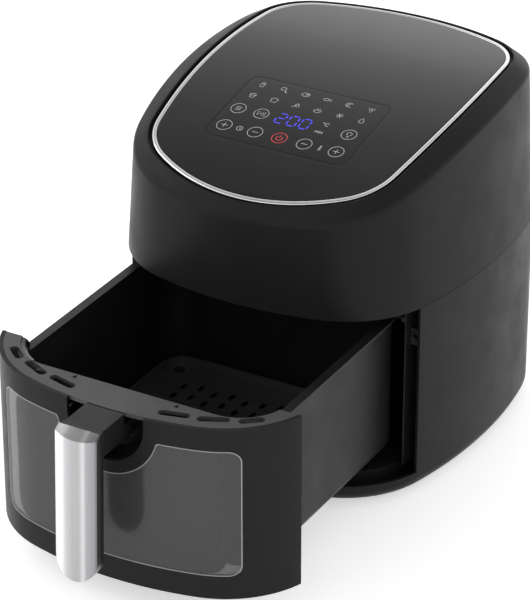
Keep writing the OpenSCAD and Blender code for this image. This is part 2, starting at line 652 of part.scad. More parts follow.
module recess_cup() color([0.06, 0.06, 0.065]) drawn_out() difference() {
    intersection() {
        plate_y(body_front - 5, body_front + recess_d + 2) recess_shape(2);
        slab(body_loop(-skin - 0.4), recess_z - arch_r, band_z0 - 0.4);
    }
    plate_y(body_front - 6, body_front + recess_d) recess_shape(0);
    for (x = arm_screws) translate([x, 0, arm_mid]) rotate([90, 0, 0])
        cylinder(r = 2.2, h = big, center = true, $fn = 32);
}
module window_glass() color([0.3, 0.3, 0.32, 0.6]) drawn_out() intersection() {
    front_part(-0.2, -skin + 0.4, window_z0 - 4, window_z1 + 4);
    plate_y(body_front - 5, -front_cut - 10) window_shape(-fit);
}
inner_w = 150;
inner_h = 84;
inner_r = 8;
module opening_rect(grow) translate([0, window_mid]) rounded(inner_w + 2 * grow, inner_h + 2 * grow, inner_r + grow);
bezel_back = pan_front - 1;
module window_bezel() color([0.16, 0.16, 0.165]) drawn_out() difference() {
    intersection() {
        hull() {
            plate_y(body_front, body_front + 1) translate([0, window_mid])
                rounded(2 * window_w + 8, window_z1 - window_z0 + 8, 12, $fn = 32);
            plate_y(bezel_back - 1, bezel_back) opening_rect(4);
        }
        slab(body_loop(-skin - 0.4), window_z0 - 6, window_z1 + 6);
    }
    hull() {
        plate_y(body_front - 1, body_front) translate([0, window_mid])
            rounded(2 * window_w + 4, window_z1 - window_z0 + 4, 10);
        plate_y(bezel_back, bezel_back + 1) opening_rect(1);
    }
    plate_y(body_front - 5, body_front + recess_d + 7) recess_shape(2.6);
}
glass_t = 3;
module inner_glass() color([0.7, 0.75, 0.78, 0.4]) drawn_out()
    plate_y(pan_front, pan_front + glass_t) opening_rect(-fit);
module glass_gasket() color([0.05, 0.05, 0.05]) drawn_out()
    plate_y(pan_front + pan_t + 0.1, pan_front + glass_t) difference() {
        opening_rect(2.2);
        opening_rect(-fit + 0.1);
    }
clip_places = [[-60, -1], [0, -1], [60, -1], [-60, 1], [60, 1]];
clip_w = 18;
clip_t = 0.8;
module glass_clips() color([0.75, 0.75, 0.76]) drawn_out() for (c = clip_places)
    box([c[0] - clip_w / 2, c[0] + clip_w / 2], [pan_front + glass_t + 0.05, pan_front + glass_t + 0.05 + clip_t],
        c[1] > 0 ? [window_mid + inner_h / 2 - 3, window_mid + inner_h / 2 + 7]
        : [window_mid - inner_h / 2 - 7, window_mid - inner_h / 2 + 3]);

/* ---- handle ---- */
grip_y1 = body_front - grip_gap;
grip_y0 = grip_y1 - grip_back;
arm_top = band_z1 - 0.5;
arm_mid = arm_top - arm_h / 2;
screw_in = 7;           // the arm's screws stand this far in from its sides
arm_screws = [screw_in - arm_w / 2, arm_w / 2 - screw_in];
arm_back = body_front + recess_d;
arm_screw_r = 1.7;
arm_screw_l = 14;
screw_head = [4, 2.2];  // radius and height
module handle_arm() color([0.14, 0.14, 0.145]) drawn_out() difference() {
    union() {
        box([-arm_w / 2, arm_w / 2], [grip_y1 - grip_back / 2, body_front + skin], [arm_top - arm_h, arm_top]);
        box([-arm_w / 2, arm_w / 2], [body_front, arm_back], [arm_top - arm_h, band_z0 - fit]);
        leaned() plate_y(grip_y0, grip_y1) grip_shape(-0.5, arm_top);
    }
    for (x = arm_screws) translate([x, arm_back + 1, arm_mid]) rotate([90, 0, 0])
        cylinder(r = arm_screw_r + 0.1, h = arm_screw_l + 1, $fn = 32);
}
module grip_shape(grow, top) {
    r = grip_w / 2 + grow;
    translate([0, grip_z0 + grip_w / 2]) circle(r, $fn = 64);
    translate([-r, grip_z0 + grip_w / 2]) square([2 * r, top - grip_z0 - grip_w / 2]);
}
module leaned() translate([0, grip_y1, arm_top]) rotate([-grip_lean, 0, 0]) translate([0, -grip_y1, -arm_top])
    children();
grip_crown = 46;        // radius of the cover's rounded front, seen from above
grip_slope = 36;        // angle of the facet at the cover's top
module handle_grip() color([0.78, 0.78, 0.79]) drawn_out() leaned() difference() {
    intersection() {
        plate_y(grip_y0 - grip_t, grip_y0) grip_shape(0, arm_top + 0.5);
        translate([0, grip_y0 - grip_t + grip_crown, 0]) cylinder(r = grip_crown, h = big, $fn = 180);
    }
    translate([-big / 2, grip_y0, arm_top + 0.5]) rotate([grip_slope, 0, 0]) translate([0, -big, 0]) cube(big);
}
module handle_screws() color("silver") drawn_out() for (x = arm_screws) translate([x, 0, arm_mid]) {
    translate([0, arm_back + 2 + screw_head[1], 0]) rotate([90, 0, 0])
        cylinder(r = screw_head[0], h = screw_head[1], $fn = 32);
    translate([0, arm_back + 2.1, 0]) rotate([90, 0, 0]) cylinder(r = arm_screw_r, h = arm_screw_l, $fn = 32);
}

/* ---- pan and tray ---- */
pan_in_w = pan_w - 2 * rim_flange - 2 * pan_t;
module pan_plan(grow) translate([0, pan_mid])
    rounded(pan_in_w + 2 * grow, pan_l - 2 * pan_t + 2 * grow, pan_r - rim_flange + grow);
module pan() color([0.16, 0.16, 0.165]) drawn_out() difference() {
    union() {
        translate([0, 0, pan_z0]) linear_extrude(pan_top - pan_z0) pan_plan(pan_t);
        difference() {
            translate([0, 0, pan_top - pan_t]) linear_extrude(pan_t) translate([0, pan_mid + rim_flange / 2])
                rounded(pan_w, pan_l + rim_flange, rim_r);
            box([-big, big], [-big, pan_front], [0, big]);
        }
    }
    translate([0, 0, pan_z0 + pan_t]) linear_extrude(big) pan_plan(0);
    plate_y(pan_front - 5, pan_front + 5) opening_rect(0);
}
bracket_t = 2;
bracket_x = [46, 76];
bracket_z = pan_top - pan_t - 1;
module pan_bracket() color([0.5, 0.5, 0.52]) drawn_out() mirrored() intersection() {
    union() {
        box(bracket_x, [body_front, pan_front - 0.05], [bracket_z - bracket_t, bracket_z]);
        box(bracket_x, [pan_front - 6, pan_front - 6 + bracket_t], [bracket_z - tiny, band_z0]);
    }
    slab(body_loop(-skin - 6), 0, big);
}
tongue_y0 = -front_cut - 8;
tongue_t = 4;
module switch_tongue() color([0.14, 0.14, 0.145]) drawn_out() {
    box([switch_x - 3, switch_x], [tongue_y0, tongue_y0 + tongue_t], [switch_mid - tongue_t, band_z0]);
    box([switch_x - 3, switch_x], [tongue_y0 + tongue_t - tiny, switch_y[0] - 1.05],
        [switch_mid - tongue_t, switch_mid + tongue_t]);
}
tray_top = pan_z0 + pan_t + tray_z;
tray_t = 1.5;
tray_gap = 4;           // between the tray and the pan's walls
tray_rim = 9;
tray_w = pan_in_w - 2 * tray_gap;
tray_l = pan_l - 2 * pan_t - 2 * tray_gap;
tray_r = pan_r - rim_flange - tray_gap;
hole_pitch = [14, 16];
hole_size = [4.4, 10];
bumper_in = 13;
bumper_r = 5;
module crisper_tray() color([0.13, 0.13, 0.135]) drawn_out() translate([0, pan_mid, tray_top - tray_t]) {
    linear_extrude(tray_t) difference() {
        rounded(tray_w, tray_l, tray_r);
        for (i = [-5:5], j = [-5:5]) translate([i * hole_pitch[0], j * hole_pitch[1] + (i % 2) * 4])
            rounded(hole_size[0], hole_size[1], hole_size[0] / 2 - 0.1);
        for (c = bumper_places) translate(c) circle(bumper_r - 1.9, $fn = 32);
    }
    difference() {
        translate([0, 0, tiny]) linear_extrude(tray_rim) rounded(tray_w, tray_l, tray_r);
        linear_extrude(tray_rim + 1) rounded(tray_w - 2 * tray_t, tray_l - 2 * tray_t, tray_r - tray_t);
    }
}
bumper_places = [for (x = [-1, 1], y = [-1, 1]) [x * (tray_w / 2 - bumper_in), y * (tray_l / 2 - bumper_in)]];
module tray_bumpers() color([0.45, 0.1, 0.1]) drawn_out() translate([0, pan_mid, 0]) for (c = bumper_places)
    translate([c.x, c.y, 0]) {
        rod_z(bumper_r, pan_z0 + pan_t + 0.05, tray_top - tray_t);
        rod_z(bumper_r - 2, tray_top - tray_t - tiny, tray_top + 1);
        rod_z(bumper_r - 0.8, tray_top, tray_top + 1.6);
    }

upper_housing();
lower_housing();
base_plate();
rubber_feet();
base_screws();
top_panel();
trim_ring();
touch_window();
touch_board();
display_module();
chamber_liner();
left_rail();
right_rail();
heater_dish();
insulation_blanket();
heating_element();
element_holders();
guard_grille();
motor_bracket();
motor();
motor_shaft();
convection_fan();
cooling_fan();
thermal_cutout();
air_sensor();
oven_lamp();
lamp_glass();
board_tray();
power_board();
switch_body();
switch_plunger();
exhaust_grille();
cord_gland();
fascia_shell();
fascia_band();
recess_cup();
window_glass();
window_bezel();
inner_glass();
glass_gasket();
glass_clips();
handle_arm();
handle_grip();
handle_screws();
pan();
pan_bracket();
switch_tongue();
crisper_tray();
tray_bumpers();
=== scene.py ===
import math

import bmesh
import bpy
from mathutils import Matrix, Vector


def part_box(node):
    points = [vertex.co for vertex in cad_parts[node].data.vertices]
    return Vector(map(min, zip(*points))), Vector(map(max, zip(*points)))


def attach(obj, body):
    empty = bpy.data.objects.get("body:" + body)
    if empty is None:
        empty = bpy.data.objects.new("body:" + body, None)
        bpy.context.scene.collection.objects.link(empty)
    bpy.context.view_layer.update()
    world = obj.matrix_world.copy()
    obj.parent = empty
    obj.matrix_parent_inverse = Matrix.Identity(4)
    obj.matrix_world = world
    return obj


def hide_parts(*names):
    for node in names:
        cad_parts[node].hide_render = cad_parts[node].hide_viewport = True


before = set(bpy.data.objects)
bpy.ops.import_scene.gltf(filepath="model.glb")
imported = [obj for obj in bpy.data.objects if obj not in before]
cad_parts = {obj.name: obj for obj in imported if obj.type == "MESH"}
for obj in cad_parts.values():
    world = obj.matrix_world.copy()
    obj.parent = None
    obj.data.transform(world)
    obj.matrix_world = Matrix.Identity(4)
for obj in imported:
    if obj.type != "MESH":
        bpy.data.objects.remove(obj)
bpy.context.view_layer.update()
mm = 0.001
scene = bpy.context.scene
scene.view_settings.view_transform = "Standard"

# ---- places that the frame gives ----
shellLow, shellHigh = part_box("upper_housing")
lowerLow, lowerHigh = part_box("lower_housing")
frontLow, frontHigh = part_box("fascia_shell")
bandLow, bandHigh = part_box("fascia_band")
panLow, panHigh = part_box("pan")
ringLow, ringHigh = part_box("trim_ring")
glassLow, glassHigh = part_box("window_glass")
bodyW = shellHigh.x - shellLow.x
bodyD = lowerHigh.y * 2
seamZ = lowerHigh.z
bodyFront = -bodyD / 2
pull = bodyFront - frontLow.y      # how far the drawer is drawn out at rest
drawn = Vector((0, -pull, 0))
frontCut = frontHigh.y + pull      # where the drawer front ends at the sides, with the drawer shut
ringWidth = 3.4 * mm

# Outlines run in five tangent arcs, from the front centre round to the back centre
bodyOutline = {
    "headings": [0, 15, 76, 100, 155, 180],
    "radii": [266, 82, 413, 80],
    "width": bodyW,
    "depth": bodyD,
    "middle": 0.0,
}
ringOutline = {
    "headings": [0, 32, 81, 96, 158, 180],
    "radii": [148, 50, 687, 48],
    "width": ringHigh.x - ringLow.x - ringWidth,
    "depth": ringHigh.y - ringLow.y - ringWidth,
    "middle": (ringHigh.y + ringLow.y) / 2,
}
arcSteps = [26, 44, 36, 44, 26]
crown = {"radius": 733 * mm, "peakY": 88 * mm, "peakZ": seamZ + 126 * mm}


def crownZ(y):
    r = crown["radius"]
    return crown["peakZ"] - r + math.sqrt(r * r - (y - crown["peakY"]) ** 2)


def outline(shape, grow=0.0):
    heads = [math.radians(h) for h in shape["headings"]]
    radii = list(shape["radii"])
    gained = sum(r * (math.sin(b) - math.sin(a)) for r, a, b in zip(radii, heads, heads[1:]))
    radii.append(gained / math.sin(heads[4]))

    def run(angle, part):
        total = 0.0
        for r, a, b in zip(radii, heads, heads[1:]):
            if angle > a:
                total += r * (part(min(angle, b)) - part(a))
        return total

    def along(angle):
        return -math.cos(angle)

    kx = shape["width"] / 2 / run(math.pi / 2, math.sin)
    ky = shape["depth"] / run(math.pi, along)
    turns = []
    for a, b, steps in zip(heads, heads[1:], arcSteps):
        turns += [a + (b - a) * k / steps for k in range(steps)]
    turns.append(math.pi)
    points = []
    for angle in turns:
        normal = Vector((ky * math.sin(angle), -kx * math.cos(angle))).normalized()
        spot = Vector((kx * run(angle, math.sin), ky * run(angle, along) - shape["depth"] / 2))
        points.append(spot + normal * grow + Vector((0, shape["middle"])))
    points[0].x = points[-1].x = 0.0
    return points + [Vector((-p.x, p.y)) for p in points[-2:0:-1]]


def level(points, z):
    return [Vector((p.x, p.y, z)) for p in points]


def onCrown(points, lift):
    return [Vector((p.x, p.y, crownZ(p.y) + lift)) for p in points]


def roundedRect(width, depth, radius, centre=(0, 0), count=12):
    points = []
    for k, (sx, sy) in enumerate([(1, -1), (1, 1), (-1, 1), (-1, -1)]):
        for i in range(count + 1):
            a = math.radians(-90 + 90 * k + 90 * i / count)
            points.append(Vector((centre[0] + sx * (width / 2 - radius) + radius * math.cos(a),
                                  centre[1] + sy * (depth / 2 - radius) + radius * math.sin(a))))
    return points


# ---- mesh tools ----
def skin(bm, rings, closed=True, joinEnds=False):
    # each ring is extruded from the one before it; the last can be bridged to the first
    verts = [bm.verts.new(p) for p in rings[0]]
    pairs = list(zip(verts, verts[1:])) + ([(verts[-1], verts[0])] if closed else [])
    edges = [bm.edges.new(p) for p in pairs]
    first = edges
    for ring in rings[1:]:
        places = {tuple(v.co): i for i, v in enumerate(verts)}
        made = bmesh.ops.extrude_edge_only(bm, edges=edges)["geom"]
        verts = [None] * len(ring)
        for v in made:
            if isinstance(v, bmesh.types.BMVert):
                verts[places[tuple(v.co)]] = v
        edges = [bm.edges.get((a, b)) for a, b in zip(verts, verts[1:] + verts[:1])]
        edges = [e for e in edges if e]
        for v, spot in zip(verts, ring):
            v.co = spot
    if joinEnds:
        bmesh.ops.bridge_loops(bm, edges=first + edges)
    return first, edges


def cap(bm, edges):
    bmesh.ops.contextual_create(bm, geom=edges)


def block(bm, points, start, end, axis="Y"):
    # a flat outline, extruded from start to end along an axis
    turn = {"Y": lambda p: Vector((p.x, start, p.y)), "Z": lambda p: Vector((p.x, p.y, start))}[axis]
    face = bm.faces.new([bm.verts.new(turn(p)) for p in points])
    made = bmesh.ops.extrude_face_region(bm, geom=[face])["geom"]
    step = Vector((0, end - start, 0)) if axis == "Y" else Vector((0, 0, end - start))
    bmesh.ops.translate(bm, verts=[v for v in made if isinstance(v, bmesh.types.BMVert)], vec=step)
    bmesh.ops.recalc_face_normals(bm, faces=bm.faces)


def cuboid(bm, low, high):
    made = bmesh.ops.create_cube(bm, size=1.0)["verts"]
    low, high = Vector(low), Vector(high)
    for v in made:
        v.co = Vector([(a + b) / 2 + c * (b - a) for a, b, c in zip(low, high, v.co)])
    return made


def roundEdges(bm, width, angle=30, segments=3, keep=None):
    sharp = [e for e in bm.edges if len(e.link_faces) == 2 and e.calc_face_angle(0) > math.radians(angle)
             and (keep is None or keep(e))]
    if sharp:
        bmesh.ops.bevel(bm, geom=sharp, offset=width, offset_type="OFFSET", segments=segments,
                        profile=0.5, affect="EDGES", clamp_overlap=True, material=-1)


def toObject(name, bm):
    mesh = bpy.data.meshes.new(name)
    bm.to_mesh(mesh)
    bm.free()
    obj = bpy.data.objects.new(name, mesh)
    scene.collection.objects.link(obj)
    return obj


def bake(obj):
    # the modifiers become the piece's own mesh
    bpy.context.view_layer.update()
    graph = bpy.context.evaluated_depsgraph_get()
    mesh = bpy.data.meshes.new_from_object(obj.evaluated_get(graph))
    obj.modifiers.clear()
    obj.data = mesh


def cut(obj, cutter, operation="DIFFERENCE", solver="EXACT"):
    change = obj.modifiers.new("cut", "BOOLEAN")
    change.object = cutter
    change.operation = operation
    change.solver = solver
    bake(obj)
    bpy.data.objects.remove(cutter)


def soften(obj, width, segments=3, angle=35):
    change = obj.modifiers.new("soften", "BEVEL")
    change.width = width
    change.segments = segments
    change.limit_method = "ANGLE"
    change.angle_limit = math.radians(angle)
    change.use_clamp_overlap = True
    change.loop_slide = True
    bake(obj)


def wall(obj, thickness):
    # the sheet is the outer face, and the wall grows inwards from it
    change = obj.modifiers.new("wall", "SOLIDIFY")
    change.thickness = thickness
    change.offset = -1
    change.use_even_offset = True
    change.use_quality_normals = True
    bake(obj)


def finishPiece(obj, material, body, replaces=(), smoothAngle=35):
    obj.data.materials.clear()
    obj.data.materials.append(material)
    for face in obj.data.polygons:
        face.use_smooth = True
    obj.data.set_sharp_from_angle(angle=math.radians(smoothAngle))
    # wide flat faces keep their own direction beside their rounded edges
    even = obj.modifiers.new("even", "WEIGHTED_NORMAL")
    even.keep_sharp = True
    even.weight = 60
    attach(obj, body)
    if replaces:
        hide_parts(*replaces)
    return obj


# ---- materials ----
def toLinear(code):
    parts = [int(code[i:i + 2], 16) / 255 for i in (1, 3, 5)]
    return tuple(c / 12.92 if c <= 0.04045 else ((c + 0.055) / 1.055) ** 2.4 for c in parts) + (1.0,)


def addNode(tree, kind, values=None, links=None):
    node = tree.nodes.new(kind)
    for name, value in (values or {}).items():
        if isinstance(name, int) or name in node.inputs:
            node.inputs[name].default_value = value
        else:
            setattr(node, name, value)
    for name, source in (links or {}).items():
        tree.links.new(source, node.inputs[name])
    return node


def surface(name, colour, roughness, other, settings=None, grain=0.4, grainDepth=0.02, vary=0.15,
            patch=25.0, stretch=(1, 1, 1), roughSpread=0.06, paintedReflection=None):
    # colour runs to `other` in soft patches, and a fine grain lifts the surface; sizes in mm.
    # paintedReflection holds tones from left to right across the piece, by place in mm: a painted reflection
    # multiplied into the colour
    material = bpy.data.materials.new(name)
    material.use_nodes = True
    tree = material.node_tree
    tree.nodes.clear()
    place = addNode(tree, "ShaderNodeTexCoord")
    mapping = addNode(tree, "ShaderNodeMapping", {"Scale": stretch}, {"Vector": place.outputs["Object"]})
    patches = addNode(tree, "ShaderNodeTexNoise", {"Scale": 1 / (patch * mm), "Detail": 4.0},
                      {"Vector": mapping.outputs["Vector"]})
    fine = addNode(tree, "ShaderNodeTexNoise", {"Scale": 1 / (grain * mm), "Detail": 2.0},
                   {"Vector": mapping.outputs["Vector"]})
    mix = addNode(tree, "ShaderNodeMix", {"data_type": "RGBA"})
    mix.inputs[6].default_value = toLinear(colour)
    mix.inputs[7].default_value = toLinear(other)
    amount = addNode(tree, "ShaderNodeMapRange", {"From Min": 0.35, "From Max": 0.65, "To Max": vary},
                     {"Value": patches.outputs["Fac"]})
    tree.links.new(amount.outputs["Result"], mix.inputs[0])
    tone = mix.outputs[2]
    # painted reflection: a ramp of tones across the piece, multiplied into the colour
    if paintedReflection:
        parts = addNode(tree, "ShaderNodeSeparateXYZ", links={"Vector": place.outputs["Object"]})
        low, high = paintedReflection[0][0] * mm, paintedReflection[-1][0] * mm
        across = addNode(tree, "ShaderNodeMapRange", {"From Min": low, "From Max": high},
                         {"Value": parts.outputs["X"]})
        ramp = addNode(tree, "ShaderNodeValToRGB", links={"Fac": across.outputs["Result"]})
        stops = ramp.color_ramp.elements
        for at, code in paintedReflection[1:-1]:
            stops.new((at * mm - low) / (high - low)).color = toLinear(code)
        stops[0].color, stops[-1].color = toLinear(paintedReflection[0][1]), toLinear(paintedReflection[-1][1])
        paintedReflectionMix = addNode(tree, "ShaderNodeMix", {"data_type": "RGBA", "blend_type": "MULTIPLY"})
        paintedReflectionMix.inputs[0].default_value = 1.0
        tree.links.new(tone, paintedReflectionMix.inputs[6])
        tree.links.new(ramp.outputs["Color"], paintedReflectionMix.inputs[7])
        tone = paintedReflectionMix.outputs[2]
    rough = addNode(tree, "ShaderNodeMapRange",
                    {"From Min": 0.3, "From Max": 0.7, "To Min": roughness - roughSpread,
                     "To Max": roughness + roughSpread},
                    {"Value": patches.outputs["Fac"]})
    bump = addNode(tree, "ShaderNodeBump", {"Strength": 0.5, "Distance": grainDepth * mm},
                   {"Height": fine.outputs["Fac"]})
    shader = addNode(tree, "ShaderNodeBsdfPrincipled", settings or {},
                     {"Base Color": tone, "Roughness": rough.outputs["Result"],
                      "Normal": bump.outputs["Normal"]})
    addNode(tree, "ShaderNodeOutputMaterial", links={"Surface": shader.outputs["BSDF"]})
    return material


# Injection-moulded ABS with a fine spark-eroded grain: a soft wide sheen over near black
mouldedAbs = surface("mouldedAbs", "#1c1c1d", 0.4, "#202021", {"Specular IOR Level": 0.11},
                     grain=0.5, grainDepth=0.01)
# Polished ABS of the top: a clear reflection of the room
polishedAbs = surface("polishedAbs", "#0e0e0f", 0.2, "#131314", {"Specular IOR Level": 0.35},
                      grain=1.2, grainDepth=0.002, roughSpread=0.03)
# Gloss black ABS of the finger recess, dark but for its edges
cupAbs = surface("cupAbs", "#0c0c0d", 0.22, "#101011", {"Specular IOR Level": 0.12}, grain=1.2, grainDepth=0.002)
# Satin ABS of the drawer's top strip, a little lighter than the body, and painted lighter still for the light falling
# on it from above
bandAbsPaintedLit = surface("bandAbsPaintedLit", "#424243", 0.42, "#484849", {"Specular IOR Level": 0.3}, grain=0.5, grainDepth=0.012)
# Satin ABS of the handle's arm and of the bezel behind the window
armAbs = surface("armAbs", "#19191a", 0.38, "#1e1e1f", {"Specular IOR Level": 0.2}, grain=0.5, grainDepth=0.012)
# Acrylic touch window, tinted from behind: a mirror-smooth dark face
tintedAcrylic = surface("tintedAcrylic", "#0f0f10", 0.12, "#121213", {"Specular IOR Level": 0.35}, grain=2.0,
                        grainDepth=0.001, roughSpread=0.02)
# Electroplated trim: bright silver with the least brushing
platedTrim = surface("platedTrim", "#d9dadc", 0.22, "#c6c7c9", {"Metallic": 1.0}, grain=0.3, grainDepth=0.004)
# Satin anodised aluminium cover, brushed along its height, with a painted reflection across it: bright at the left,
# greyer in the middle, a bright streak, then darkest at the right edge
anodised = surface("anodised", "#fbfbfc", 0.28, "#f4f4f5", {"Metallic": 1.0, "Anisotropic": 0.3}, grain=0.35,
                   grainDepth=0.001, patch=6.0, stretch=(1, 1, 0.03), vary=0.4, roughSpread=0.03,
                   paintedReflection=[(-17.5, "#d8d8d8"), (-15.5, "#ffffff"), (-11, "#f2f2f2"), (-7, "#c4c4c5"), (-1, "#b0b0b1"),
                          (4, "#aeaeaf"), (7.5, "#d2d2d3"), (10, "#a6a6a7"), (15.5, "#98989a"), (17.5, "#6c6c6e")])
# Smoked polycarbonate: a grey veil that still lets the pan show
smokedSheet = surface("smokedSheet", "#434345", 0.14, "#3e3e40", {"Alpha": 0.66}, grain=3.0, grainDepth=0.0004,
                      roughSpread=0.02)
# Tempered glass: clear, with a faint green
temperedGlass = surface("temperedGlass", "#a9b3b1", 0.06, "#b3bbb9", {"Alpha": 0.22}, grain=3.0, grainDepth=0.001,
                        roughSpread=0.01)
# Non-stick coating on pressed steel: dark, slightly pebbled, low sheen
nonStick = surface("nonStick", "#121213", 0.46, "#171718", {"Specular IOR Level": 0.25}, grain=0.7, grainDepth=0.015,
                   vary=0.4)
# Aluminised steel sheet, heat-dulled
linerSteel = surface("linerSteel", "#4b4b4c", 0.45, "#3a3938", {"Metallic": 0.8}, grain=0.6, patch=12.0, vary=0.6)
# Zinc-plated and ground steel of screws, shaft and clips
plainSteel = surface("plainSteel", "#9b9c9e", 0.35, "#86878a", {"Metallic": 1.0}, grain=0.3, patch=5.0)
# Pressed aluminium of the hot-air fan
pressedAluminium = surface("pressedAluminium", "#b8b9ba", 0.38, "#a5a6a8", {"Metallic": 1.0}, grain=0.5)
# Oxidised nickel-alloy sheath of the heating tube: dark with a dull brown cast
oxidisedSheath = surface("oxidisedSheath", "#3a3632", 0.55, "#4a423b", {"Metallic": 0.6},
                         grain=0.4, patch=8.0, vary=0.7)
# Steatite: off-white ceramic, faintly glazed
steatite = surface("steatite", "#d6cfbf", 0.4, "#c7bfae", grain=0.6)
# Needled glass fibre: loose pale mat
glassFibre = surface("glassFibre", "#cfc8b4", 0.9, "#b9b19c", {"Sheen Weight": 0.3},
                     grain=1.5, grainDepth=0.8, patch=6.0, vary=0.8)
# Moulded rubber: matt with a slight bloom
mouldedRubber = surface("mouldedRubber", "#121212", 0.7, "#1a1a1a", grain=0.5, grainDepth=0.03)
# Polypropylene inner mouldings: waxy matt
polypropylene = surface("polypropylene", "#18181a", 0.5, "#1f1f21", grain=0.7, grainDepth=0.03)
# Circuit board: green solder mask with a soft gloss
solderMask = surface("solderMask", "#16522c", 0.3, "#114123", grain=0.8, grainDepth=0.02, patch=3.0, vary=0.8)
# Non-stick coating of the crisper tray, painted much lighter than the pan's coating as painted light falling on it,
# with a livelier sheen than the pan's
trayPaintedLight = surface("trayPaintedLight", "#39393a", 0.34, "#434344", {"Specular IOR Level": 0.6}, grain=0.7, grainDepth=0.01)
# Edge of the window sheet, coloured light grey as a thin painted highlight line
paintedEdgeHighlight = surface("paintedEdgeHighlight", "#8c8c8e", 0.25, "#9a9a9c", grain=1.0, grainDepth=0.001)
# Screen-printed pale ink, with a faint painted glow
printedInkPaintedGlow = surface("printedInkPaintedGlow", "#b4b6ba", 0.5, "#a8aaae", {"Emission Color": toLinear("#b4b6ba"),
                                                               "Emission Strength": 0.2}, grain=0.4)
# Lit blue digits
blueLight = surface("blueLight", "#2b2bb8", 0.4, "#3030c0", {"Emission Color": toLinear("#4340d8"),
                                                             "Emission Strength": 0.85}, grain=0.4)
# Lit red power mark
redLight = surface("redLight", "#b03438", 0.4, "#b83a3c", {"Emission Color": toLinear("#c8383c"),
                                                           "Emission Strength": 0.55}, grain=0.4)
# Silicone of the tray's bumpers
siliconeRubber = surface("siliconeRubber", "#161616", 0.55, "#1d1d1d", grain=0.6)
print("materials ready")

carriedOver = {
    "base_plate": polypropylene, "rubber_feet": mouldedRubber, "base_screws": plainSteel, "touch_board": solderMask,
    "display_module": tintedAcrylic, "chamber_liner": linerSteel, "left_rail": linerSteel, "right_rail": linerSteel,
    "heater_dish": linerSteel, "insulation_blanket": glassFibre, "heating_element": oxidisedSheath,
    "element_holders": steatite, "guard_grille": plainSteel, "motor_bracket": linerSteel, "motor": plainSteel,
    "motor_shaft": plainSteel, "convection_fan": pressedAluminium, "cooling_fan": polypropylene,
    "thermal_cutout": steatite, "air_sensor": plainSteel, "oven_lamp": steatite, "lamp_glass": temperedGlass,
    "board_tray": polypropylene, "power_board": solderMask, "switch_body": polypropylene,
    "switch_plunger": polypropylene, "exhaust_grille": mouldedAbs, "cord_gland": mouldedRubber,
    "window_bezel": armAbs, "inner_glass": temperedGlass, "glass_gasket": mouldedRubber, "glass_clips": plainSteel,
    "handle_screws": plainSteel, "pan_bracket": plainSteel, "switch_tongue": polypropylene,
    "crisper_tray": trayPaintedLight, "tray_bumpers": siliconeRubber,
}
for node, material in carriedOver.items():
    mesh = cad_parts[node].data
    mesh.materials.clear()
    mesh.materials.append(material)

# ---- upper housing ----
upperHousing = {
    "wall": 2.6 * mm,
    "shoulderDrop": 11 * mm,      # at the front
    "sideDrop": 6 * mm,
    "shoulderIn": 0.6 * mm,
    "sideIn": 10 * mm,
    "grooveWidth": 2.6 * mm,
    "grooveDepth": 4 * mm,
    "rim": 1.4 * mm,
    "ring": ringWidth,
    "rimLift": 0.4 * mm,
}


def shoulderRing(extra, drop=0.0):
    s = upperHousing
    ring = []
    for p in outline(bodyOutline, -s["shoulderIn"] - extra):
        side = abs(p.x) / (bodyW / 2)
        x = p.x - math.copysign(s["sideIn"] * side ** 3, p.x)
        z = crownZ(p.y) - s["shoulderDrop"] + (s["shoulderDrop"] - s["sideDrop"]) * side ** 2 - drop
        ring.append(Vector((x, p.y, z)))
    return ring


def between(a, b, share):
    return [p.lerp(q, share) for p, q in zip(a, b)]


def makeUpperHousing():
    s = upperHousing
    half = s["ring"] / 2
    grow = half + s["grooveWidth"] + s["rim"]
    seam = level(outline(bodyOutline), seamZ)
    shoulder = shoulderRing(0.0)
    lip = onCrown(outline(ringOutline, grow), s["rimLift"])
    rings = [seam, between(seam, shoulder, 0.5), shoulder, between(shoulder, lip, 0.5), lip,
             onCrown(outline(ringOutline, grow - s["rim"]), s["rimLift"]),
             onCrown(outline(ringOutline, grow - s["rim"]), -s["grooveDepth"]),
             onCrown(outline(ringOutline, -s["ring"]), -s["grooveDepth"]),
             onCrown(outline(ringOutline, -s["ring"]), -s["grooveDepth"] - s["wall"]),
             onCrown(outline(ringOutline, grow - 3 * mm), -s["grooveDepth"] - s["wall"]),
             shoulderRing(s["wall"], s["wall"] + 2 * mm), level(outline(bodyOutline, -s["wall"]), seamZ)]
    bm = bmesh.new()
    skin(bm, rings, joinEnds=True)
    crease = {tuple(round(c, 7) for c in p) for p in shoulder}

    def onShoulder(edge):
        return all(tuple(round(c, 7) for c in v.co) in crease for v in edge.verts)

    bmesh.ops.bevel(bm, geom=[e for e in bm.edges if onShoulder(e)], offset=2.4 * mm, offset_type="OFFSET",
                    segments=5, profile=0.5, affect="EDGES", material=-1)
    bmesh.ops.recalc_face_normals(bm, faces=bm.faces)
    obj = toObject("upperHousing", bm)
    soften(obj, 0.5 * mm, 2, 40)
    finishPiece(obj, mouldedAbs, "housing", ["upper_housing"])


makeUpperHousing()
print("upper housing")

# ---- lower housing ----
lowerHousing = {
    "wall": 2.6 * mm,
    "edgeRadius": 11 * mm,
    "baseInset": 14 * mm,
    "cutY": frontCut + 1.2 * mm,
    "lipZ": 19 * mm,
    "steps": 8,
}


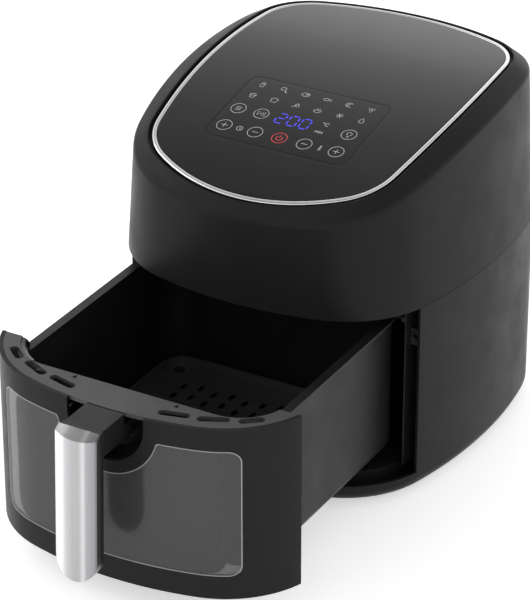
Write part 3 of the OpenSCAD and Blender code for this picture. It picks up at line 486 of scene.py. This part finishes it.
def makeLowerHousing():
    s = lowerHousing
    r = s["edgeRadius"]
    rings = [level(outline(bodyOutline), seamZ)]
    for k in range(s["steps"] + 1):
        a = math.pi / 2 * k / s["steps"]
        rings.append(level(outline(bodyOutline, -r + r * math.cos(a)), lowerLow.z + r - r * math.sin(a)))
    rings.append(level(outline(bodyOutline, -s["baseInset"]), lowerLow.z))
    bm = bmesh.new()
    skin(bm, rings)
    bmesh.ops.recalc_face_normals(bm, faces=bm.faces)
    for spot, normal in [((0, s["cutY"], 0), (0, 1, 0)), ((0, 0, s["lipZ"]), (0, 0, 1))]:
        bmesh.ops.bisect_plane(bm, geom=bm.verts[:] + bm.edges[:] + bm.faces[:], dist=1e-6, plane_co=spot,
                               plane_no=normal)
    gone = [f for f in bm.faces if f.calc_center_median().y < s["cutY"] and f.calc_center_median().z > s["lipZ"]]
    bmesh.ops.delete(bm, geom=gone, context="FACES")
    if sum(f.normal.dot(Vector((*f.calc_center_median().xy, 0))) for f in bm.faces) < 0:
        bmesh.ops.reverse_faces(bm, faces=bm.faces)
    obj = toObject("lowerHousing", bm)
    wall(obj, s["wall"])
    grilleLow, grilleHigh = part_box("exhaust_grille")
    hole = bmesh.new()
    block(hole, roundedRect(grilleHigh.x - grilleLow.x + 0.3 * mm, grilleHigh.z - grilleLow.z + 0.3 * mm, 6 * mm,
                            (0, (grilleHigh.z + grilleLow.z) / 2)), 0.1, 0.2)
    cut(obj, toObject("hole", hole))
    glandLow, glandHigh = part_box("cord_gland")
    gland = bmesh.new()
    bmesh.ops.create_cone(gland, cap_ends=True, segments=48, radius1=7 * mm, radius2=7 * mm, depth=0.2,
                          matrix=Matrix.Translation(((glandLow.x + glandHigh.x) / 2, 0.2,
                                                     (glandLow.z + glandHigh.z) / 2))
                          @ Matrix.Rotation(math.pi / 2, 4, "X"))
    cut(obj, toObject("gland", gland))
    soften(obj, 0.6 * mm, 2, 40)
    finishPiece(obj, mouldedAbs, "housing", ["lower_housing"])


makeLowerHousing()
print("lower housing")

# ---- top: panel, ring, touch window ----
top = {
    "panelGap": 0.15 * mm,
    "panelThick": 3 * mm,
    "ringOver": 0.5 * mm,
    "ringDeep": 3.6 * mm,
    "touchW": 122 * mm,
    "touchD": 81 * mm,
    "touchY": -55 * mm,
    "touchRadius": 8 * mm,
    "fitGap": 0.15 * mm,
}


def touchEdge(angle, inset):
    # where a ray from the touch field's centre meets its rounded outline
    w, d = top["touchW"] / 2 - inset, top["touchD"] / 2 - inset
    r = top["touchRadius"] - inset
    aim = Vector((math.cos(angle), math.sin(angle)))
    near, far = 0.0, w + d
    for _ in range(40):
        mid = (near + far) / 2
        q = Vector((abs(aim.x * mid) - (w - r), abs(aim.y * mid) - (d - r)))
        outside = Vector((max(q.x, 0), max(q.y, 0))).length - r > 0 or max(q.x, q.y) > r
        near, far = (near, mid) if outside else (mid, far)
    return aim * near + Vector((0, top["touchY"]))


def panelAngles():
    centre = Vector((0, top["touchY"]))
    edge = outline(ringOutline, -upperHousing["ring"] / 2 - top["panelGap"])
    return edge, [math.atan2(*(p - centre).yx) for p in edge]


def makeTop():
    edge, angles = panelAngles()
    hole = [touchEdge(a, 0.0) for a in angles]
    steps = 14
    bm = bmesh.new()
    skin(bm, [onCrown(between(edge, hole, k / steps), 0) for k in range(steps + 1)])
    bmesh.ops.recalc_face_normals(bm, faces=bm.faces)
    if sum(f.normal.z for f in bm.faces) < 0:
        bmesh.ops.reverse_faces(bm, faces=bm.faces)
    obj = toObject("topPanel", bm)
    wall(obj, top["panelThick"])
    soften(obj, 0.35 * mm, 2, 50)
    finishPiece(obj, polishedAbs, "housing", ["top_panel"])

    bm = bmesh.new()
    rim = [touchEdge(a, top["fitGap"]) for a in angles]
    centre = [Vector((0, top["touchY"]))] * len(rim)
    first, last = skin(bm, [onCrown(between(rim, centre, k / 10), 0) for k in range(10)])
    cap(bm, last)
    bmesh.ops.recalc_face_normals(bm, faces=bm.faces)
    if sum(f.normal.z for f in bm.faces) < 0:
        bmesh.ops.reverse_faces(bm, faces=bm.faces)
    obj = toObject("touchWindow", bm)
    wall(obj, 2.4 * mm)
    soften(obj, 0.3 * mm, 2, 50)
    finishPiece(obj, tintedAcrylic, "housing", ["touch_window"])

    half = upperHousing["ring"] / 2
    over, deep = top["ringOver"], top["ringDeep"]
    bm = bmesh.new()
    rings = [onCrown(outline(ringOutline, half), -deep)]
    for k in range(9):
        a = math.pi * k / 8
        rings.append(onCrown(outline(ringOutline, half * math.cos(a)), over - 1.0 * mm + 1.0 * mm * math.sin(a)))
    rings.append(onCrown(outline(ringOutline, -half), -deep))
    skin(bm, rings, joinEnds=True)
    bmesh.ops.recalc_face_normals(bm, faces=bm.faces)
    obj = toObject("trimRing", bm)
    finishPiece(obj, platedTrim, "housing", ["trim_ring"])


makeTop()
print("top")

# ---- printed marks of the touch field ----
marks = {
    "line": 0.42 * mm,
    "iconSize": 7.8 * mm,
    "ringSize": 12 * mm,
    "digitW": 7.2 * mm,
    "digitH": 12 * mm,
    "digitLine": 1.1 * mm,
    "lift": 0.06 * mm,
    "thick": 0.05 * mm,
}


def arc(x, y, rx, ry, start=0, end=360, count=20):
    turns = [math.radians(start + (end - start) * k / count) for k in range(count + 1)]
    return [(x + rx * math.cos(a), y + ry * math.sin(a)) for a in turns]


# Generic drawings in a square from -1 to 1; a stroke that ends where it starts is closed
foodIcons = [
    [[(-0.5, 0.1), (0.5, 0.1), (0.35, -0.8), (-0.35, -0.8), (-0.5, 0.1)], [(-0.3, 0.2), (-0.36, 0.8)],
     [(0, 0.2), (0, 0.9)], [(0.3, 0.2), (0.36, 0.8)]],
    [arc(-0.2, 0.2, 0.55, 0.5), [(0.2, -0.2), (0.7, -0.7)], arc(0.75, -0.75, 0.14, 0.14)],
    [arc(0, 0, 0.85, 0.6), arc(0.25, 0.1, 0.22, 0.18)],
    [arc(-0.2, 0, 0.62, 0.38), [(0.42, 0), (0.88, 0.36), (0.88, -0.36), (0.42, 0)]],
    [arc(0, 0, 0.7, 0.7, 40, 290), arc(0.05, 0, 0.36, 0.36, 60, 270), [(0.24, -0.66), (0.6, -0.8)]],
    [[(-0.75, 0.5), (0.75, 0.5), (0, -0.85), (-0.75, 0.5)], arc(0, 0.1, 0.15, 0.15)],
    [[(-0.55, 0), (-0.4, -0.8), (0.4, -0.8), (0.55, 0)], arc(0, 0, 0.68, 0.62, 0, 180), [(-0.68, 0), (0.68, 0)]],
    [[(-0.6, 0.2), (-0.6, -0.7), (0.6, -0.7), (0.6, 0.2)], arc(0, 0.2, 0.78, 0.45, 0, 180)],
    [arc(-0.1, -0.6, 0.9, 1.3, 10, 80), arc(0.7, 0.7, 0.9, 1.3, 190, 260), [(-0.6, -0.8), (0.4, 0.4)]],
    [arc(0, 0, 0.8, 0.75, 180, 360), [(-0.9, 0), (0.9, 0)], [(-0.25, 0.25), (-0.25, 0.7)],
     [(0.25, 0.25), (0.25, 0.7)]],
    [[(-0.8, 0), (0.8, 0)], [(-0.4, -0.7), (0.4, 0.7)], [(-0.4, 0.7), (0.4, -0.7)]],
    [arc(0, -0.2, 0.5, 0.55, 150, 390), [(-0.43, 0.08), (0, 0.9), (0.43, 0.08)]],
]
menuBars = [[(-0.4, 0.3), (0.4, 0.3)], [(-0.4, 0), (0.4, 0)], [(-0.4, -0.3), (0.4, -0.3)]]
playPause = [[(-0.5, 0.4), (-0.5, -0.4), (0, 0), (-0.5, 0.4)], [(0.2, 0.4), (0.2, -0.4)], [(0.5, 0.4), (0.5, -0.4)]]
bulb = [arc(0, 0.12, 0.34, 0.34, -60, 240), [(-0.14, -0.35), (0.14, -0.35)], [(-0.14, -0.52), (0.14, -0.52)]]
plus = [[(-0.45, 0), (0.45, 0)], [(0, -0.45), (0, 0.45)]]
minus = [[(-0.45, 0), (0.45, 0)]]
clock = [arc(0, 0, 0.75, 0.75), [(0, 0.5), (0, 0), (0.35, -0.2)]]
thermometer = [arc(0, -0.55, 0.28, 0.28), [(-0.13, -0.28), (-0.13, 0.75), (0.13, 0.75), (0.13, -0.28)]]
power = [arc(0, -0.05, 0.42, 0.42, 125, 415), [(0, 0.05), (0, 0.55)]]
segments = {"2": "abged", "0": "abcdef"}


def field(u, v):
    return Vector(((u - 0.5) * top["touchW"], top["touchY"] + (v - 0.5) * top["touchD"]))


def drawStrokes(bm, strokes, centre, size, line):
    for stroke in strokes:
        points = [Vector(p) * size / 2 + centre for p in stroke]
        closed = (points[0] - points[-1]).length < 1e-7
        if closed:
            points = points[:-1]
        left, right = [], []
        for i, p in enumerate(points):
            before = points[i - 1] if closed or i else p
            after = points[(i + 1) % len(points)] if closed or i < len(points) - 1 else p
            way = (after - before).normalized()
            side = Vector((-way.y, way.x)) * line / 2
            left.append(p + side)
            right.append(p - side)
        if closed:
            skin(bm, [[Vector((*p, 0)) for p in ring] for ring in (left, right)])
        else:
            bm.faces.new([bm.verts.new((*p, 0)) for p in left + right[::-1]])


def drawText(bm, body, centre, size):
    curve = bpy.data.curves.new("caption", "FONT")
    curve.body = body
    curve.size = size
    curve.align_x = "CENTER"
    curve.align_y = "CENTER"
    obj = bpy.data.objects.new("caption", curve)
    scene.collection.objects.link(obj)
    bpy.context.view_layer.update()
    mesh = bpy.data.meshes.new_from_object(obj.evaluated_get(bpy.context.evaluated_depsgraph_get()))
    mesh.transform(Matrix.Translation((*centre, 0)))
    bm.from_mesh(mesh)
    bpy.data.objects.remove(obj)


def finishMarks(name, bm, material):
    for v in bm.verts:
        v.co.z = crownZ(v.co.y) + marks["lift"]
    bmesh.ops.triangulate(bm, faces=bm.faces)
    bmesh.ops.recalc_face_normals(bm, faces=bm.faces)
    bmesh.ops.reverse_faces(bm, faces=[f for f in bm.faces if f.normal.z < 0])
    obj = toObject(name, bm)
    wall(obj, marks["thick"])
    finishPiece(obj, material, "housing", ["touch_window"])


def makeMarks():
    s = marks
    ring = [arc(0, 0, 1, 1, count=36)]
    pale = bmesh.new()
    for k, icon in enumerate(foodIcons):
        row, place = divmod(k, 6)
        drawStrokes(pale, icon, field(0.103 + 0.156 * place, (0.88, 0.686)[row]), s["iconSize"], s["line"])
    for mark, u, v in [(menuBars, 0.09, 0.447), (playPause, 0.255, 0.447), (bulb, 0.88, 0.447), (plus, 0.092, 0.175),
                       (minus, 0.313, 0.175), (minus, 0.663, 0.175), (plus, 0.888, 0.175)]:
        drawStrokes(pale, mark + ring, field(u, v), s["ringSize"], s["line"])
    for mark, u in [(clock, 0.202), (thermometer, 0.775)]:
        drawStrokes(pale, mark, field(u, 0.175), 6.5 * mm, s["line"])
    drawText(pale, "\u00b0C", field(0.692, 0.507), 5.5 * mm)
    drawText(pale, "MIN", field(0.689, 0.38), 3.8 * mm)
    finishMarks("touchMarks", pale, printedInkPaintedGlow)

    lit = bmesh.new()
    w, h = s["digitW"] / 2, s["digitH"] / 2
    gap = 0.5 * mm
    lines = {"a": [(-w, h), (w, h)], "b": [(w, h), (w, 0)], "c": [(w, 0), (w, -h)], "d": [(-w, -h), (w, -h)],
             "e": [(-w, 0), (-w, -h)], "f": [(-w, h), (-w, 0)], "g": [(-w, 0), (w, 0)]}
    for k, digit in enumerate("200"):
        for name in segments[digit]:
            a, b = [Vector(p) for p in lines[name]]
            way = (b - a).normalized() * (gap + s["digitLine"] / 2)
            middle = field(0.483, 0.447) + Vector(((k - 1) * 10.5 * mm, 0))
            drawStrokes(lit, [[(a + way) * 2, (b - way) * 2]], middle, 1, s["digitLine"])
    finishMarks("touchDigits", lit, blueLight)

    red = bmesh.new()
    drawStrokes(red, power + ring, field(0.487, 0.175), 12 * mm, 0.55 * mm)
    finishMarks("touchPower", red, redLight)


makeMarks()
print("touch marks")

# ---- drawer front ----
drawerFront = {
    "skin": 3 * mm,
    "cutY": frontCut,
    "windowW": (glassHigh.x - glassLow.x) / 2 + 0.3 * mm,
    "windowLow": 39.5 * mm,
    "windowHigh": 144.5 * mm,
    "windowRadius": 9 * mm,
    "recessR": 32 * mm,
    "recessZ": seamZ - 10 * mm,
    "recessDepth": 17 * mm,
    "archGap": 10 * mm,
}


def windowOutline(grow):
    s = drawerFront
    w, low, high = s["windowW"] + grow, s["windowLow"] - grow, s["windowHigh"] + grow
    r, archR = s["windowRadius"] + grow, s["recessR"] + s["archGap"] - grow
    middle = (low + high) / 2
    corners = roundedRect(2 * w, high - low, r, (0, middle), 10)
    reach = math.sqrt(archR ** 2 - (s["recessZ"] - high) ** 2)
    start = math.atan2(high - s["recessZ"], reach)
    arch = []
    for k in range(49):
        a = start + (-math.pi - 2 * start) * k / 48
        arch.append(Vector((archR * math.cos(a), s["recessZ"] + archR * math.sin(a))))
    lower, upperRight, upperLeft = corners[:11], corners[11:22], corners[22:33]
    return lower + upperRight + arch + upperLeft + corners[33:]


def recessOutline(grow, height):
    s = drawerFront
    r = s["recessR"] + grow
    points = [Vector((r * math.cos(a), s["recessZ"] + r * math.sin(a)))
              for a in [math.pi + math.pi * k / 40 for k in range(41)]]
    return points + [Vector((r, height)), Vector((-r, height))]


def frontSheet(name, grow, low, high):
    # the part of the body's wall that is the drawer front, drawn out
    bm = bmesh.new()
    points = outline(bodyOutline, grow)
    steps = 12
    skin(bm, [level(points, low + (high - low) * k / steps) for k in range(steps + 1)])
    bmesh.ops.bisect_plane(bm, geom=bm.verts[:] + bm.edges[:] + bm.faces[:], dist=1e-6,
                           plane_co=(0, drawerFront["cutY"], 0), plane_no=(0, 1, 0), clear_outer=True)
    bmesh.ops.recalc_face_normals(bm, faces=bm.faces)
    if sum(f.normal.dot(Vector((*f.calc_center_median().xy, 0))) for f in bm.faces) < 0:
        bmesh.ops.reverse_faces(bm, faces=bm.faces)
    bmesh.ops.translate(bm, verts=bm.verts, vec=drawn)
    return toObject(name, bm)


def prism(points, low, high):
    bm = bmesh.new()
    block(bm, points, low - pull, high - pull)
    return toObject("cutter", bm)


def windowPrism(grow, low, high):
    # the two points beside the arch are rounded off
    bm = bmesh.new()
    block(bm, windowOutline(grow), low - pull, high - pull)
    top = drawerFront["windowHigh"] + grow - 0.2 * mm
    reach = drawerFront["recessR"] + drawerFront["archGap"] + 2 * mm

    def onPoint(edge):
        a, b = edge.verts
        return abs(a.co.y - b.co.y) > mm and a.co.z > top and abs(a.co.x) < reach

    roundEdges(bm, 5 * mm, 30, 8, onPoint)
    return toObject("cutter", bm)


def makeDrawerFront():
    s = drawerFront
    before, behind = bodyFront - 10 * mm, s["cutY"] - 8 * mm
    obj = frontSheet("fasciaShell", 0.0, frontLow.z, frontHigh.z)
    wall(obj, s["skin"])
    cut(obj, windowPrism(0.0, before, behind))
    cut(obj, prism(recessOutline(0.0, 0.3), before, behind))
    soften(obj, 0.7 * mm, 3, 40)
    finishPiece(obj, mouldedAbs, "drawer", ["fascia_shell"])

    obj = frontSheet("windowSheet", -0.2 * mm, s["windowLow"] - 3 * mm, s["windowHigh"] + 3 * mm)
    wall(obj, 2.4 * mm)
    cut(obj, windowPrism(-0.3 * mm, before, behind), "INTERSECT")
    cut(obj, windowPrism(-1.0 * mm, before, behind), "INTERSECT")
    finishPiece(obj, smokedSheet, "drawer", ["window_glass"])

    # the sheet's outer edge as its own light grey ring: a painted highlight
    obj = frontSheet("windowEdgeHighlight", -0.2 * mm, s["windowLow"] - 3 * mm, s["windowHigh"] + 3 * mm)
    wall(obj, 2.4 * mm)
    cut(obj, windowPrism(-0.3 * mm, before, behind), "INTERSECT")
    cut(obj, windowPrism(-1.0 * mm, before, behind))
    finishPiece(obj, paintedEdgeHighlight, "drawer", ["window_glass"])


makeDrawerFront()
print("drawer front")

# ---- strip on the drawer front's top ----
bandStrip = {
    "inset": 3.3 * mm,
    "slots": [(47, 19.5, 24, 14), (75, 27, 24, 25), (99.5, 39, 19, 40)],      # across, behind the front, length, turn
    "slotWidth": 7,
    "markX": 43,
    "markBack": 3.4 * mm,
    "rimRadius": 38 * mm,
    "rimGap": 0.5 * mm,
    "skirt": 2.5 * mm,
    "lip": 6 * mm,
    "lipFrom": 84 * mm,
    "depth": 33.5 * mm,
}


def upright(points, low, high):
    bm = bmesh.new()
    block(bm, points, low, high, "Z")
    return toObject("cutter", bm)


def rimPlan(grow):
    s = bandStrip
    deep = 0.4
    width = panHigh.x - panLow.x + 2 * s["rimGap"] + 2 * grow
    front = bodyFront + s["depth"] - pull - grow
    return roundedRect(width, deep, s["rimRadius"] + grow, (0, front + deep / 2), 24)


def makeBand():
    s = bandStrip
    low, high, lipTop = bandLow.z, bandHigh.z, bandHigh.z - mm
    under = panHigh.z + 0.4 * mm
    stripLow = high - 3 * mm
    plan = [p + drawn.xy for p in outline(bodyOutline, -s["inset"])]
    obj = upright(plan, stripLow, high)
    obj.name = "bandStrip"
    cut(obj, upright(rimPlan(0), stripLow - mm, high + mm))
    back = bmesh.new()
    cuboid(back, (-0.3, frontHigh.y, 0.1), (0.3, 0.3, 0.2))
    cut(obj, toObject("cutter", back))
    slots = bmesh.new()
    for x, y, length, turn in s["slots"]:
        for side in (-1, 1):
            shape = roundedRect(length * mm, s["slotWidth"] * mm, s["slotWidth"] / 2 * mm - 0.2 * mm, (0, 0), 8)
            spin = Matrix.Rotation(math.radians(side * turn), 2)
            spot = Vector((side * x * mm, bodyFront + y * mm - pull))
            block(slots, [spin @ p + spot for p in shape], stripLow - mm, high + mm, "Z")
    for side in (-1, 1):
        tip = Vector((side * s["markX"] * mm, bodyFront + s["depth"] - s["markBack"] - pull))
        arrow = [tip + Vector(p) * mm for p in [(-2.2, -2), (2.2, -2), (0, 2.4)]]
        block(slots, arrow, stripLow - mm, high + mm, "Z")
    cut(obj, toObject("cutter", slots))

    skirt = upright(rimPlan(s["skirt"]), under, stripLow + 0.2 * mm)
    cut(skirt, upright(plan, under - mm, high), "INTERSECT")
    cut(skirt, upright(rimPlan(0), under - 2 * mm, high))
    back = bmesh.new()
    cuboid(back, (-0.3, frontHigh.y, 0.1), (0.3, 0.3, 0.2))
    cut(skirt, toObject("cutter", back))
    cut(obj, skirt, "UNION")
    soften(obj, 0.5 * mm, 2, 40)
    finishPiece(obj, bandAbsPaintedLit, "drawer", ["fascia_band"])

    # a floor under the outer slots, so that they read as pockets
    well = upright(plan, stripLow - 4 * mm, stripLow - 2.6 * mm)
    well.name = "slotFloor"
    cut(well, upright(rimPlan(0.2 * mm), under - mm, high))
    back = bmesh.new()
    cuboid(back, (-0.3, frontHigh.y - 10 * mm, 0.1), (0.3, 0.3, 0.2))
    cuboid(back, (-s["lipFrom"], -0.5, 0.1), (s["lipFrom"], frontHigh.y - 9 * mm, 0.2))
    cut(well, toObject("cutter", back))
    finishPiece(well, polypropylene, "drawer", ["fascia_band"])

    # the dark lip over the rim's corners, rounded from the strip down to the rim
    lip = upright(rimPlan(-0.02 * mm), under, lipTop)
    lip.name = "cornerLip"
    cut(lip, upright(rimPlan(-s["lip"]), under - mm, lipTop + mm))
    back = bmesh.new()
    cuboid(back, (-0.3, frontHigh.y, 0.1), (0.3, 0.6, 0.2))
    cuboid(back, (-s["lipFrom"], -0.5, 0.1), (s["lipFrom"], frontHigh.y + mm, 0.2))
    cut(lip, toObject("cutter", back))
    bm = bmesh.new()
    bm.from_mesh(lip.data)
    inner = bodyFront + s["depth"] - pull + s["rimRadius"]
    radius = s["rimRadius"] - s["lip"]
    hub = (panHigh.x - panLow.x) / 2 + s["rimGap"] - s["rimRadius"]

    def onInner(edge):
        return all(v.co.z > lipTop - 0.1 * mm and
                   (Vector((abs(v.co.x) - hub, v.co.y - inner)).length < radius + 0.6 * mm) for v in edge.verts)

    roundEdges(bm, s["lip"] - 0.8 * mm, 40, 8, onInner)
    bm.to_mesh(lip.data)
    bm.free()
    finishPiece(lip, polishedAbs, "drawer", ["fascia_band"])


makeBand()
print("strip")

# ---- handle ----
handle = {
    "gripW": 35 * mm,
    "gripBack": bodyFront - 26 * mm,
    "backThick": 5 * mm,
    "coverThick": 8.5 * mm,
    "low": 41 * mm,
    "armH": 21 * mm,
    "armW": 32 * mm,
    "facet": 36,
    "crown": 46 * mm,
    "lean": 2.3,      # degrees, forward at the bottom
}


def leaned(obj):
    pivot = Vector((0, handle["gripBack"] - pull, bandHigh.z - 0.5 * mm))
    turn = Matrix.Translation(pivot) @ Matrix.Rotation(math.radians(-handle["lean"]), 4, "X")
    obj.data.transform(turn @ Matrix.Translation(-pivot))


def gripOutline(grow, high):
    s = handle
    r = s["gripW"] / 2 + grow
    centre = s["low"] + s["gripW"] / 2
    arc = [Vector((r * math.cos(a), centre + r * math.sin(a)))
           for a in [math.pi + math.pi * k / 32 for k in range(33)]]
    return arc + [Vector((r, high)), Vector((-r, high))]


def makeHandle():
    s = handle
    armTop = bandHigh.z - 0.5 * mm
    front = s["gripBack"] - s["backThick"] - s["coverThick"] - pull
    bm = bmesh.new()
    block(bm, gripOutline(0.0, armTop + 0.5 * mm), front, s["gripBack"] - s["backThick"] - pull)
    edge = Vector((0, s["gripBack"] - s["backThick"] - pull, armTop + 0.5 * mm))
    tilt = math.radians(s["facet"])
    bmesh.ops.bisect_plane(bm, geom=bm.verts[:] + bm.edges[:] + bm.faces[:], dist=1e-6, plane_co=edge,
                           plane_no=(0, -math.sin(tilt), math.cos(tilt)), clear_outer=True)
    bmesh.ops.holes_fill(bm, edges=[e for e in bm.edges if e.is_boundary], sides=0)
    bmesh.ops.recalc_face_normals(bm, faces=bm.faces)
    obj = toObject("gripCover", bm)
    crowned = bmesh.new()
    bmesh.ops.create_cone(crowned, cap_ends=True, segments=288, radius1=s["crown"], radius2=s["crown"], depth=0.4,
                          matrix=Matrix.Translation((0, front + s["crown"], 0.1)))
    cut(obj, toObject("cutter", crowned), "INTERSECT")
    soften(obj, 1.1 * mm, 4, 25)
    leaned(obj)
    finishPiece(obj, anodised, "drawer", ["handle_grip"], 30)

    bm = bmesh.new()
    block(bm, gripOutline(-0.5 * mm, armTop), s["gripBack"] - s["backThick"] - pull, s["gripBack"] - pull)
    obj = toObject("handleArm", bm)
    leaned(obj)
    arm = bmesh.new()
    cuboid(arm, (-s["armW"] / 2, s["gripBack"] - s["backThick"] / 2 - pull, armTop - s["armH"]),
           (s["armW"] / 2, bodyFront + 3 * mm - pull, armTop))
    root = bmesh.new()
    cuboid(root, (-s["armW"] / 2, bodyFront - 1 * mm - pull, armTop - s["armH"]),
           (s["armW"] / 2, bodyFront + drawerFront["recessDepth"] - pull, bandLow.z - 0.3 * mm))
    cut(obj, toObject("arm", arm), "UNION")
    cut(obj, toObject("root", root), "UNION")
    soften(obj, 1.2 * mm, 3, 40)
    finishPiece(obj, armAbs, "drawer", ["handle_arm"])

    d = drawerFront
    obj = prism(recessOutline(2 * mm, bandLow.z - 0.4 * mm), bodyFront + 0.6 * mm,
                bodyFront + d["recessDepth"] + 2 * mm)
    obj.name = "recessCup"
    # the exact solver loses this shape, so the closed solids go through the manifold one
    cut(obj, prism(recessOutline(0.0, 0.3), bodyFront - 9 * mm, bodyFront + d["recessDepth"] - 4 * mm),
        solver="MANIFOLD")
    cut(obj, prism(recessOutline(-9 * mm, 0.3), bodyFront - 9 * mm, bodyFront + d["recessDepth"]), solver="MANIFOLD")
    body = bmesh.new()
    skin(body, [level(outline(bodyOutline, -3.4 * mm), 0.1), level(outline(bodyOutline, -3.4 * mm), 0.17)])
    for edges in [[e for e in body.edges if e.is_boundary and e.verts[0].co.z > 0.15],
                  [e for e in body.edges if e.is_boundary and e.verts[0].co.z < 0.15]]:
        cap(body, edges)
    bmesh.ops.translate(body, verts=body.verts, vec=drawn)
    bmesh.ops.recalc_face_normals(body, faces=body.faces)
    cut(obj, toObject("within", body), "INTERSECT", "MANIFOLD")
    soften(obj, 0.8 * mm, 3, 40)
    finishPiece(obj, cupAbs, "drawer", ["recess_cup"])


makeHandle()
print("handle")

# ---- pan ----
pan = {
    "wall": 1.6 * mm,
    "flange": 6 * mm,
    "radius": 30 * mm,
    "rimRadius": 38 * mm,
    "floorFillet": 8 * mm,
    "glassW": 150 * mm,
    "glassH": 84 * mm,
    "glassRadius": 8 * mm,
}


def makePan():
    s = pan
    length = panHigh.y - panLow.y - s["flange"]
    width = panHigh.x - panLow.x
    inW = width - 2 * s["flange"] - 2 * s["wall"]
    inL = length - 2 * s["wall"]
    mid = panLow.y + length / 2
    r = s["radius"] - s["flange"]

    def plan(grow, z):
        return level(roundedRect(inW + 2 * grow, inL + 2 * grow, max(r + grow, 2 * mm), (0, mid), 16), z)

    flange = [Vector((p.x, max(p.y, panLow.y), panHigh.z))
              for p in roundedRect(width, length + s["flange"], s["rimRadius"], (0, mid + s["flange"] / 2), 16)]
    t, fillet = s["wall"], s["floorFillet"]
    rings = []
    for k in range(7):
        a = math.pi / 2 * k / 6
        rings.append(plan(t - fillet * (1 - math.sin(a)), panLow.z + fillet * (1 - math.cos(a))))
    rings += [plan(t, panHigh.z - t), [p - Vector((0, 0, t)) for p in flange], flange, plan(0, panHigh.z)]
    for k in range(7):
        a = math.pi / 2 * k / 6
        rings.append(plan(-fillet * (1 - math.cos(a)), panLow.z + t + fillet * (1 - math.sin(a))))
    bm = bmesh.new()
    first, last = skin(bm, rings)
    cap(bm, first)
    cap(bm, last)
    bmesh.ops.recalc_face_normals(bm, faces=bm.faces)
    obj = toObject("panShell", bm)
    windowMiddle = (drawerFront["windowLow"] + drawerFront["windowHigh"]) / 2
    hole = roundedRect(s["glassW"], s["glassH"], s["glassRadius"], (0, windowMiddle))
    opening = bmesh.new()
    block(opening, hole, panLow.y - 5 * mm, panLow.y + 5 * mm)
    cut(obj, toObject("opening", opening))
    soften(obj, 0.6 * mm, 3, 40)
    finishPiece(obj, nonStick, "drawer", ["pan"])


makePan()
print("pan")

# ---- stage, light, camera ----
studio = {
    "horizon": 1.15,
    "zenith": 0.2,
    "floorGlow": 0.5,
}


def makeWorld():
    # the light falls off from the horizon up, so that level faces darken towards the front
    world = bpy.data.worlds.new("studio")
    scene.world = world
    world.use_nodes = True
    tree = world.node_tree
    tree.nodes.clear()
    place = addNode(tree, "ShaderNodeTexCoord")
    parts = addNode(tree, "ShaderNodeSeparateXYZ", links={"Vector": place.outputs["Generated"]})
    fall = addNode(tree, "ShaderNodeMapRange", {"From Min": 0.55, "From Max": 0.95, "To Min": studio["horizon"],
                                                "To Max": studio["zenith"]}, {"Value": parts.outputs["Z"]})
    sky = addNode(tree, "ShaderNodeBackground", {"Color": toLinear("#ffffff")}, {"Strength": fall.outputs["Result"]})
    addNode(tree, "ShaderNodeOutputWorld", links={"Surface": sky.outputs["Background"]})


def makeStage():
    floor = bmesh.new()
    bmesh.ops.create_grid(floor, x_segments=1, y_segments=1, size=6.0)
    obj = toObject("floor", floor)
    # Matt white paper sweep, lit enough to read as pure white
    paper = surface("paperSweep", "#f4f4f4", 0.6, "#f0f0f0", {"Emission Color": toLinear("#ffffff"),
                    "Emission Strength": studio["floorGlow"]}, grain=2.0, grainDepth=0.01)
    obj.data.materials.append(paper)
    lamps = [
        ("leftBox", (-1.6, -0.5, 0.9), (0, -0.05, 0.12), 1.2, 1.6, 7),
        ("rightBox", (1.7, 0.5, 0.9), (0, 0, 0.12), 1.2, 1.6, 2),
        ("topBox", (0.0, 0.3, 2.2), (0, -0.05, 0.1), 1.6, 1.2, 3),
        ("backBox", (-0.7, 2.2, 1.1), (0, 0, 0.25), 2.2, 0.7, 2),
    ]
    for name, spot, aim, width, height, power in lamps:
        light = bpy.data.lights.new(name, "AREA")
        light.shape = "RECTANGLE"
        light.size, light.size_y, light.energy = width, height, power
        lamp = bpy.data.objects.new(name, light)
        lamp.location = spot
        lamp.rotation_euler = (Vector(aim) - Vector(spot)).to_track_quat("-Z", "Y").to_euler()
        scene.collection.objects.link(lamp)


cameraPlace = {
    "lens": 191.2,
    "sensor": 36,
    "spot": (1.07085, -1.98087, 1.30232),
    "right": (0.86834, 0.49596, 0.0),
    "up": (-0.23478, 0.41106, 0.88086),
}


def makeCamera():
    s = cameraPlace
    camera = bpy.data.cameras.new("camera")
    camera.lens = s["lens"]
    camera.sensor_width = s["sensor"]
    obj = bpy.data.objects.new("camera", camera)
    right, up = Vector(s["right"]), Vector(s["up"])
    back = right.cross(up)
    turn = Matrix((right, up, back)).transposed().to_4x4()
    obj.matrix_world = Matrix.Translation(s["spot"]) @ turn
    camera.clip_end = 50
    scene.collection.objects.link(obj)
    scene.camera = obj


makeWorld()
makeStage()
makeCamera()
print("scene ready")
